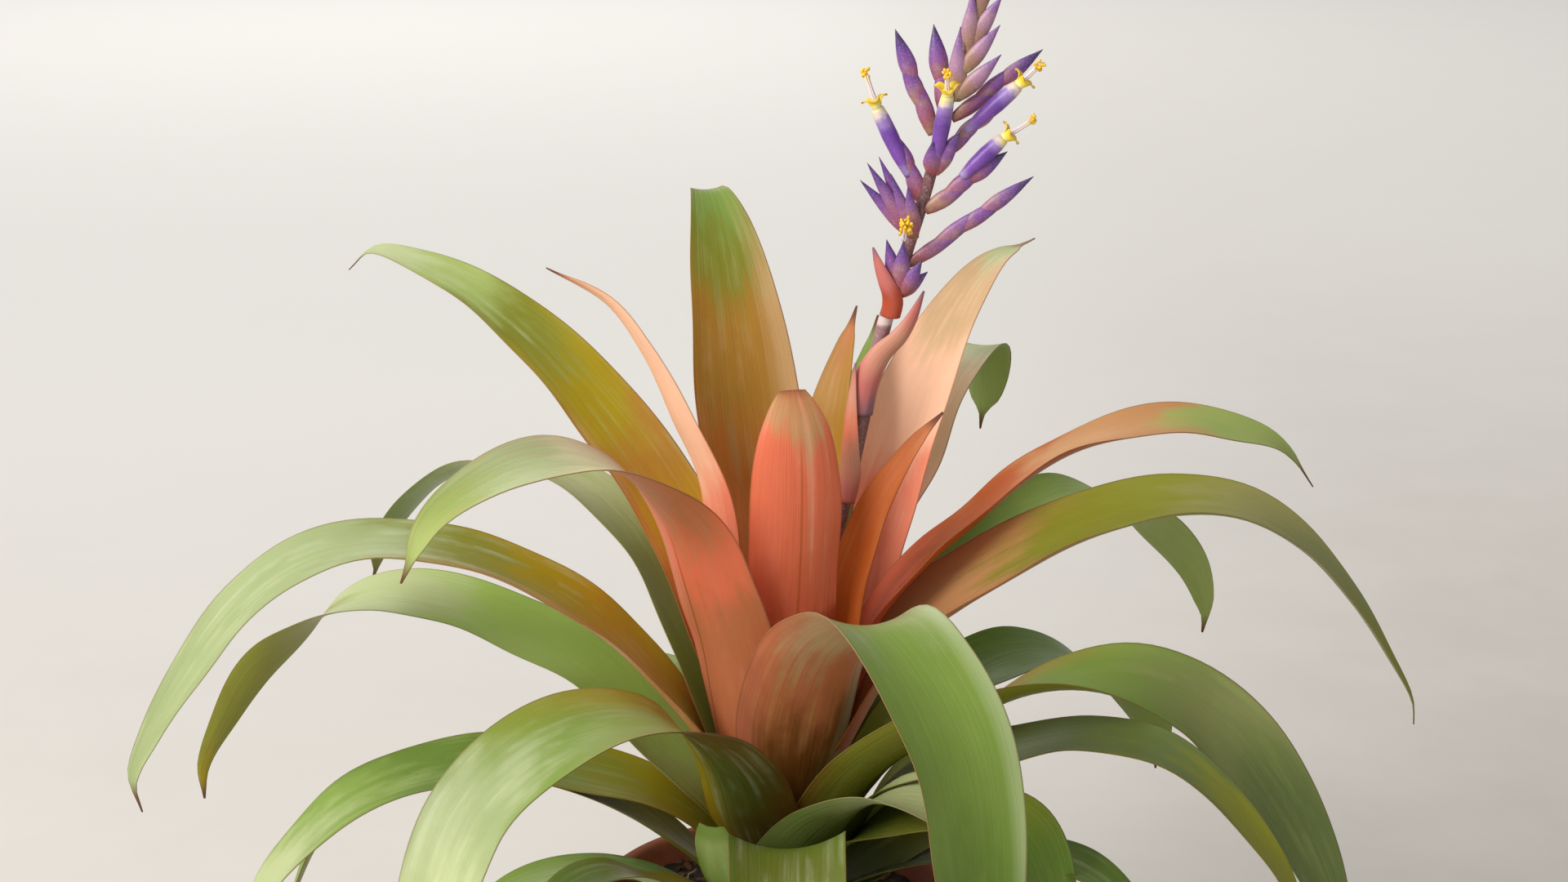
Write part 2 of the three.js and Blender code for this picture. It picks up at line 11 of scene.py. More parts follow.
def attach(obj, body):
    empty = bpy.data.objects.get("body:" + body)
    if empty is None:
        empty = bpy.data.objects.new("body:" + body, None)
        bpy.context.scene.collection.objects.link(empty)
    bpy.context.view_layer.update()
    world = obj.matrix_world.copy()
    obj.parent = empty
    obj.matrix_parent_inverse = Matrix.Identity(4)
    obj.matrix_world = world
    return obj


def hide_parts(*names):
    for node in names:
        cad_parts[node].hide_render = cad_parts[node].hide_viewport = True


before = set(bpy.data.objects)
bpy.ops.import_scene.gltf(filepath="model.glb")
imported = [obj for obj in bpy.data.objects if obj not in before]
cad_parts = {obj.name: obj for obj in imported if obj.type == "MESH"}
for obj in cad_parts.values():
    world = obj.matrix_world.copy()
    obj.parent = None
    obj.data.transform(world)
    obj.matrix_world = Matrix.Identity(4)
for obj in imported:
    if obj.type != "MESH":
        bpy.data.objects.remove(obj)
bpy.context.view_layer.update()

# Pot
# An ordinary terracotta pot, pressed and fired, with a thick band at the rim and three drain holes.
# It is unglazed: matt, a little blotched, with pale lime bloom where water has dried on the wall.
POT_HEIGHT = 0.215
POT_RIM_RADIUS = 0.120
POT_FOOT_RADIUS = 0.082
POT_WALL = 0.007
POT_BAND = 0.032
BAND_STEP = 0.011
POT_FLOOR = 0.010
FOOT_ROUND = 0.0028
AXIS_RADIUS = 0.001
DRAIN_RADIUS = 0.006
DRAIN_CIRCLE = 0.040
DRAIN_TURNS = (90, 210, 330)
POT_SIDES = 112
WALL_RINGS = 8


def mix(a, b, t):
    return a + (b - a) * t


def pigment(code):
    """A paint colour, written as six hex digits, in the linear light that the shaders use."""
    parts = [int(code[k:k + 2], 16) / 255 for k in (1, 3, 5)]
    return (*(p / 12.92 if p <= 0.04045 else ((p + 0.055) / 1.055) ** 2.4 for p in parts), 1.0)


def finish(name, roughness, **sockets):
    """A new material with its node tree and its surface shader."""
    made = bpy.data.materials.new(name)
    made.use_nodes = True
    shader = made.node_tree.nodes["Principled BSDF"]
    shader.inputs["Roughness"].default_value = roughness
    for socket, value in sockets.items():
        shader.inputs[socket.replace("_", " ")].default_value = value
    return made, made.node_tree, shader


def put(source, kind, inputs=(), **settings):
    """A node in the tree of the source, which is a tree or a socket. Its inputs take values or sockets."""
    tree = source.id_data
    node = tree.nodes.new("ShaderNode" + kind)
    for key, value in settings.items():
        setattr(node, key, value)
    for key, value in dict(inputs).items():
        if isinstance(value, bpy.types.NodeSocket):
            tree.links.new(value, node.inputs[key])
        else:
            node.inputs[key].default_value = value
    return node


def feed(shader, name, socket):
    socket.id_data.links.new(socket, shader.inputs[name])


def worked(how, *values):
    """One step of arithmetic on sockets and numbers, of which the first is a socket."""
    return put(values[0], "Math", dict(enumerate(values)), operation=how).outputs[0]


def times(a, b):
    return worked("MULTIPLY", a, b)


def painted(amount, below, above):
    """One colour laid over another by an amount."""
    return put(amount, "Mix", {0: amount, 6: below, 7: above}, data_type="RGBA").outputs[2]


def on_object(tree):
    """Where a point lies on its piece, in metres."""
    return put(tree, "TexCoord").outputs["Object"]


def axes(where):
    return put(where, "SeparateXYZ", {0: where}).outputs


def cloudy(where, scale, detail=3.0, roughness=0.55):
    return put(where, "TexNoise", {"Vector": where, "Scale": scale, "Detail": detail,
                                   "Roughness": roughness}).outputs["Fac"]


def between(value, low, high, least=0.0, most=1.0):
    """A value turned from the range low to high into least to most, with soft ends."""
    return put(value, "MapRange", {"Value": value, "From Min": low, "From Max": high, "To Min": least,
                                   "To Max": most}, interpolation_type="SMOOTHSTEP").outputs["Result"]


def raised(shader, height, strength, distance):
    bump = put(height, "Bump", {"Height": height, "Strength": strength, "Distance": distance})
    feed(shader, "Normal", bump.outputs["Normal"])


def circle(sides):
    """The cosine and sine of each of so many even steps round a circle."""
    return [(math.cos(a), math.sin(a)) for a in np.arange(sides) * 2 * math.pi / sides]


def ringed(rings):
    """Vertices and faces of a skin over rings of points, capped at both ends."""
    count, sides = len(rings), len(rings[0])
    faces = []
    for here in range(0, (count - 1) * sides, sides):
        there = here + sides
        faces += [(here + j, here + (j + 1) % sides, there + (j + 1) % sides, there + j)
                  for j in range(sides)]
    faces.append(tuple(reversed(range(sides))))
    faces.append(tuple(range((count - 1) * sides, count * sides)))
    return [tuple(p) for ring in rings for p in ring], faces


def solid_piece(name, vertices, faces, skin, smooth=True):
    mesh = bpy.data.meshes.new(name)
    mesh.from_pydata(vertices, [], faces)
    mesh.polygons.foreach_set("use_smooth", [smooth] * len(mesh.polygons))
    mesh.materials.append(skin)
    mesh.validate()
    piece = bpy.data.objects.new(name, mesh)
    bpy.context.scene.collection.objects.link(piece)
    return piece


def combine(piece, tool, how):
    """Cuts the tool's form out of the piece, or joins it on, and takes the tool away."""
    step = piece.modifiers.new("combine", "BOOLEAN")
    step.operation = how
    step.object = tool
    step.solver = "EXACT"
    shaped = piece.evaluated_get(bpy.context.evaluated_depsgraph_get())
    mesh = bpy.data.meshes.new_from_object(shaped)
    piece.modifiers.clear()
    piece.data = mesh
    bpy.data.objects.remove(tool)


def stands_for(piece, slot, *nodes):
    """The piece rides with the plant and stands for those solids; the slot is not used."""
    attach(piece, "root")
    if nodes:
        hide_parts(*nodes)


def turned(profile, sides):
    """Rings of a body turned about the Z axis, from (radius, height) corners."""
    return [[(r * c, r * s, z) for c, s in circle(sides)] for r, z in profile]


def terracotta():
    """Fired clay: blotched, with lime salts low on the wall, darker at the lip, and fine dark specks."""
    made, tree, shader = finish("terracotta", 0.86)
    where = on_object(tree)
    blotch = cloudy(where, 22.0, 5.0)
    grain = cloudy(where, 900.0, 2.0)
    height = axes(where)["Z"]
    salts = between(cloudy(where, 38.0, 6.0, 0.7), 0.52, 0.68, 0.0, 0.45)
    clay = painted(between(blotch, 0.35, 0.7), pigment("#8a4630"), pigment("#a9603f"))
    limed = painted(times(salts, between(height, 0.17, 0.03)), clay, pigment("#cfb8a4"))
    # Darker towards the top of the pot.
    dark_lip = painted(between(height, 0.196, 0.21, 0.0, 0.25), limed, pigment("#5c2f22"))
    speck = painted(between(grain, 0.58, 0.72, 0.0, 0.35), dark_lip, pigment("#6b3524"))
    feed(shader, "Base Color", speck)
    raised(shader, worked("ADD", grain, blotch), 0.35, 0.0006)
    return made


def pot_profile():
    """Corners of the pot's section: up the wall, round the band and the lip, and down inside to the floor."""
    foot, rim, height = POT_FOOT_RADIUS, POT_RIM_RADIUS, POT_HEIGHT
    band = height - POT_BAND
    wall_top = rim - BAND_STEP
    mouth = rim - POT_WALL
    outside = [(foot - 0.0025, 0.0), (foot - 0.0006, 0.0008), (foot, FOOT_ROUND)]
    for k in range(1, WALL_RINGS + 1):
        share = k / WALL_RINGS
        outside.append((mix(foot, wall_top, share), mix(FOOT_ROUND, band - 0.001, share)))
    outside += [(wall_top + 0.0005, band), (rim - 0.0022, band + 0.0004), (rim - 0.0006, band + 0.0022),
                (rim, band + 0.005)]
    lip = [(rim, height - 0.0045), (rim - 0.0008, height - 0.0018), (rim - 0.003, height),
           (mouth - 0.0015, height), (mouth - 0.0035, height - 0.0018)]
    inside = [(mouth - 0.0042, height - 0.006), (mouth - 0.011, band), (foot - POT_WALL, POT_FLOOR)]
    return outside + lip + inside


pot_rings = turned([(AXIS_RADIUS, 0.0), *pot_profile(), (AXIS_RADIUS, POT_FLOOR)], POT_SIDES)
pot = solid_piece("clay_pot", *ringed(pot_rings), terracotta())
for turn in DRAIN_TURNS:
    x, y = DRAIN_CIRCLE * math.cos(math.radians(turn)), DRAIN_CIRCLE * math.sin(math.radians(turn))
    hole = turned([(DRAIN_RADIUS, -POT_FLOOR / 2), (DRAIN_RADIUS, POT_FLOOR * 1.5)], 24)
    hole = [[(x + a, y + b, z) for a, b, z in ring] for ring in hole]
    combine(pot, solid_piece("drain_drill", *ringed(hole), pot.active_material), "DIFFERENCE")
stands_for(pot, "pot", "pot")

# Soil
# A dark, open mix of bark and peat, as bromeliads are grown in: a bed of fine crumb that fills the pot,
# coarse flat chips of bark pressed into its top, and fine pale roots that run over and between them.
MM = 0.001
SOIL_LEVEL = 0.200
SOIL_TOP_RADIUS = 0.105
SOIL_FOOT = 0.0104
SOIL_SIDES = 72
SOIL_RINGS = 18
LITTER_REACH = SOIL_TOP_RADIUS - 0.004
CROWN_HOLE = 0.031
CHIP_COUNT = 620
CHIP_SIDES = 7
CHIP_LEVELS = [(-0.5, 0.72), (-0.3, 0.97), (0.15, 1.0), (0.5, 0.8)]
ROOT_COUNT = 46
ROOT_RADIUS = 0.00045
ROOT_STEPS = 21
ROOT_STEP = 0.0016
shake = random.Random(31)


def note(piece, name, values):
    """Stores a number, or three of them, for each point of the piece, for its material to read."""
    values = np.asarray(values, dtype=np.float32)
    kind, key = ("FLOAT", "value") if values.ndim == 1 else ("FLOAT_VECTOR", "vector")
    piece.data.attributes.new(name, kind, "POINT").data.foreach_set(key, values.ravel())


def noted(tree, name):
    return put(tree, "Attribute", attribute_name=name).outputs["Fac"]


def bark_skin(name, dark, light, scale):
    made, tree, shader = finish(name, 0.92)
    fibre = cloudy(on_object(tree), scale, 6.0, 0.7)
    amount = times(fibre, noted(tree, "tone"))
    feed(shader, "Base Color", painted(between(amount, 0.1, 0.75), pigment(dark), pigment(light)))
    raised(shader, fibre, 0.8, 0.0012)
    return made


def soil_height(x, y):
    return SOIL_LEVEL - 0.0025 + 0.0035 * noise.noise(Vector((x * 60, y * 60, 0.0)))


bed_rings = turned([(AXIS_RADIUS, SOIL_FOOT), (POT_FOOT_RADIUS - POT_WALL - 0.0006, SOIL_FOOT),
                    (POT_RIM_RADIUS - POT_WALL - 0.0116, POT_HEIGHT - POT_BAND)], SOIL_SIDES)
top_radii = [mix(SOIL_TOP_RADIUS, AXIS_RADIUS, k / SOIL_RINGS) for k in range(SOIL_RINGS + 1)]
for ring in turned([(radius, 0.0) for radius in top_radii], SOIL_SIDES):
    bed_rings.append([(x, y, soil_height(x, y)) for x, y, _ in ring])
bed = solid_piece("soil_bed", *ringed(bed_rings), bark_skin("peat", "#120c08", "#3a2a1e", 260.0))
note(bed, "tone", [0.9] * len(bed.data.vertices))
stands_for(bed, "soil", "soil")


def add_body(points, faces, rings):
    """Adds one closed body to the points and faces of a piece that is made of many."""
    made_points, made_faces = ringed(rings)
    faces += [tuple(v + len(points) for v in face) for face in made_faces]
    points += made_points


def chip_shape():
    """A flat broken flake: points round an uneven outline, thicker in the middle."""
    length, width, thick = shake.uniform(5, 13), shake.uniform(3, 7), shake.uniform(0.8, 2.0)
    outline = [(length / 2 * c * shake.uniform(0.8, 1.1), width / 2 * s * shake.uniform(0.75, 1.15))
               for c, s in circle(CHIP_SIDES)]
    return [[Vector((x * k, y * k, h * thick + shake.uniform(-0.15, 0.15))) * MM for x, y in outline]
            for h, k in CHIP_LEVELS]


points, faces, tones = [], [], []
for _ in range(CHIP_COUNT):
    turn = shake.uniform(0, 2 * math.pi)
    radius = math.sqrt(shake.uniform(CROWN_HOLE**2, LITTER_REACH**2))
    x, y = radius * math.cos(turn), radius * math.sin(turn)
    lie = Vector((shake.gauss(0, 0.28), shake.gauss(0, 0.28), 1)).to_track_quat("Z", "Y").to_matrix()
    spin = Matrix.Rotation(shake.uniform(0, 2 * math.pi), 3, "Z")
    middle = Vector((x, y, soil_height(x, y) + shake.uniform(0.0002, 0.0028)))
    tone = shake.uniform(0.5, 1.4)
    add_body(points, faces, [[middle + lie @ (spin @ p) for p in ring] for ring in chip_shape()])
    tones += [tone] * (len(points) - len(tones))
chips = solid_piece("bark_chips", points, faces, bark_skin("bark", "#1d120c", "#6e4a33", 420.0), smooth=False)
note(chips, "tone", tones)
stands_for(chips, "soil")


def unit(rows):
    return rows / np.linalg.norm(rows, axis=-1)[..., None]


def tube(line, radii, sides):
    """Rings of a round tube along a line of points."""
    along = unit(np.gradient(line, axis=0))
    side = unit(np.cross([0.05, 1.0, 0.03], along))
    up = np.cross(along, side)
    return [[middle + radius * (u * c + v * s) for c, s in circle(sides)]
            for middle, radius, u, v in zip(line, radii, side, up)]


points, faces = [], []
root_radii = [ROOT_RADIUS * (1 - 0.5 * abs(2 * k / ROOT_STEPS - 1)) for k in range(ROOT_STEPS + 1)]
for _ in range(ROOT_COUNT):
    heading, radius = shake.uniform(0, 2 * math.pi), shake.uniform(0.03, 0.088)
    x, y = radius * math.cos(heading), radius * math.sin(heading)
    bearing = shake.uniform(0, 2 * math.pi)
    line = []
    for k in range(ROOT_STEPS + 1):
        lift = 0.0042 * math.sin(math.pi * k / ROOT_STEPS) * shake.uniform(0.8, 1.1)
        line.append((x, y, soil_height(x, y) + 0.0012 + lift))
        bearing += shake.gauss(0, 0.28)
        x, y = x + ROOT_STEP * math.cos(bearing), y + ROOT_STEP * math.sin(bearing)
        if math.hypot(x, y) > LITTER_REACH:
            bearing += 0.9
    add_body(points, faces, tube(line, root_radii, 6))
roots = solid_piece("fine_roots", points, faces, bark_skin("root", "#8f7658", "#d8c6a4", 500.0))
note(roots, "tone", [1.0] * len(points))
stands_for(roots, "soil")

# Crown and stalk
# One grown piece. The crown is the short fibrous stem that the leaves clasp, and the flower stalk
# rises from its middle and leans to the right: mauve-brown, with a whitish bloom that rubs off.
# All sizes from here on are in millimetres, and heights are above the soil.
CROWN = [(-60, 14), (-40, 22), (0, 30), (25, 28), (55, 22), (80, 15), (92, 9)]
STALK = [(0, 60), (12, 150), (28, 225), (43, 289), (64, 387), (78, 437), (90, 477), (105, 540), (118, 590)]
STALK_RADIUS = 6.5
STALK_TOP_RADIUS = 2.5
STALK_STEPS = 150
COVERED_FROM = 352
COVERED_TO = 398
LEVEL = SOIL_LEVEL / MM


def smooth_line(corners, count, samples=600):
    """Evenly spaced points on a smooth line through the corners, and its length."""
    corners = np.array(corners, float)
    ends = np.vstack([2 * corners[0] - corners[1], corners, 2 * corners[-1] - corners[-2]])
    knots = np.sqrt(np.linalg.norm(np.diff(ends, axis=0), axis=1))
    share = np.linspace(0, len(corners) - 1, samples + 1)
    span = np.minimum(share.astype(int), len(corners) - 2)
    w = (share - span)[:, None]
    before, start, end, after = (ends[span + k] for k in range(4))
    d0, d1, d2 = (knots[span + k][:, None] for k in range(3))
    leave = ((start - before) / d0 - (end - before) / (d0 + d1) + (end - start) / d1) * d1
    arrive = ((end - start) / d1 - (after - start) / (d1 + d2) + (after - end) / d2) * d1
    points = (start + leave * w + (3 * (end - start) - 2 * leave - arrive) * w**2
              + (2 * (start - end) + leave + arrive) * w**3)
    travelled = np.concatenate([[0], np.cumsum(np.linalg.norm(np.diff(points, axis=0), axis=1))])
    even = np.linspace(0, travelled[-1], count + 1)
    line = np.stack([np.interp(even, travelled, points[:, k]) for k in range(points.shape[1])], axis=1)
    return line, travelled[-1]


def stalk_skin():
    """Maroon-brown, paler where the lower bracts keep it covered, with a chalky ring under the coral one."""
    made, tree, shader = finish("stalk_skin", 0.55, Coat_Weight=0.1)
    where = on_object(tree)
    stretched = put(tree, "Mapping", {"Vector": where, "Scale": (1.0, 1.0, 0.25)}).outputs[0]
    height = axes(where)["Z"]
    foot, top = (LEVEL + COVERED_FROM) * MM, (LEVEL + COVERED_TO) * MM
    streak = between(cloudy(stretched, 160.0), 0.3, 0.7)
    tone = painted(streak, pigment("#5a3236"), pigment("#8a5a5c"))
    covered = times(between(height, foot - 0.02, foot), between(height, top, top + 0.004, 0.75, 0.0))
    tone = painted(covered, tone, pigment("#9c7276"))
    ring = times(between(height, top - 0.006, top - 0.003), between(height, top, top + 0.002, 0.8, 0.0))
    tone = painted(ring, tone, pigment("#e2d3cf"))
    scurf = between(cloudy(where, 700.0, 4.0, 0.7), 0.45, 0.75, 0.0, 0.45)
    feed(shader, "Base Color", painted(scurf, tone, pigment("#c9b0ad")))
    raised(shader, cloudy(stretched, 500.0), 0.3, 0.0005)
    return made


crown_profile = [(0.5, CROWN[0][0]), *[(r, h) for h, r in CROWN], (0.5, CROWN[-1][0] + 2)]
crown_rings = turned([(r * MM, (LEVEL + h) * MM) for r, h in crown_profile], 40)
stem = solid_piece("crown_and_stalk", *ringed(crown_rings), stalk_skin())
stalk_line, _ = smooth_line(STALK, STALK_STEPS)
stalk_line = np.array([(x, 0.0, LEVEL + h) for x, h in stalk_line]) * MM
narrowing = (np.arange(STALK_STEPS + 1) / STALK_STEPS) ** 1.5
stalk_rings = tube(stalk_line, mix(STALK_RADIUS, STALK_TOP_RADIUS, narrowing) * MM, 20)
combine(stem, solid_piece("upper_stalk", *ringed(stalk_rings), stem.active_material), "UNION")
stands_for(stem, "stem", "stem")

# Leaves
# Thirty-six strap leaves, each one channelled blade that clasps the crown, rises, arches over and ends in
# a dry brown point. The heart leaves are coral with tan, the next ones gold and olive, the outer ones green.
LEAF_THICK = 1.4
LEAF_EDGE = 0.7
LEAF_ROWS = 84
LEAF_COLUMNS = 20
SEAT_WIDTH = 20
SEAT_TOP = 80
SEAT_BOTTOM = 8
SEAT_DEPTH = 4
OPENS_FROM = 20
OPENS_OVER = 50
NARROWS_FROM = 0.3
POINT_FOOT = 4.4
POINT_END = 0.7
# Margins ripple and the blade waves: the height of each, and the length for one radian of it.
RIPPLE, RIPPLE_STEP = 0.9, 13
WAVE, WAVE_STEP = 0.5, 31
FLAT_FOOT = 90
PIGMENTS = {
    "ember": "#6e3416", "rust": "#b4561f", "brick": "#b24a30", "coral": "#e2714f", "salmon": "#f08d6e",
    "peach": "#f2bd9c", "apricot": "#f0d2b0", "clay": "#c0734a", "rose": "#cf9078", "tan": "#c9a67c",
    "fawn": "#c08c5c", "cream": "#dccfa2", "amber": "#c4782a", "gold": "#b5901f", "mustard": "#a08c0c",
    "olive": "#808226", "moss": "#5c6620", "umber": "#5a4014", "fern": "#64802f", "green": "#7a9440",
    "lime": "#98aa5c", "sage": "#aeb985", "silver": "#ced5b6", "grey": "#7f8650", "shade": "#4c5824",
    "dry": "#6b4634", "husk": "#a08468", "brown": "#704416", "orange": "#ea9850", "pink": "#c6706a",
    "mauve": "#8d6474", "apple": "#9fbd5c", "bronze": "#a87a28", "willow": "#9aa874", "slate": "#62703c",
    "drab": "#8e8a54",
}
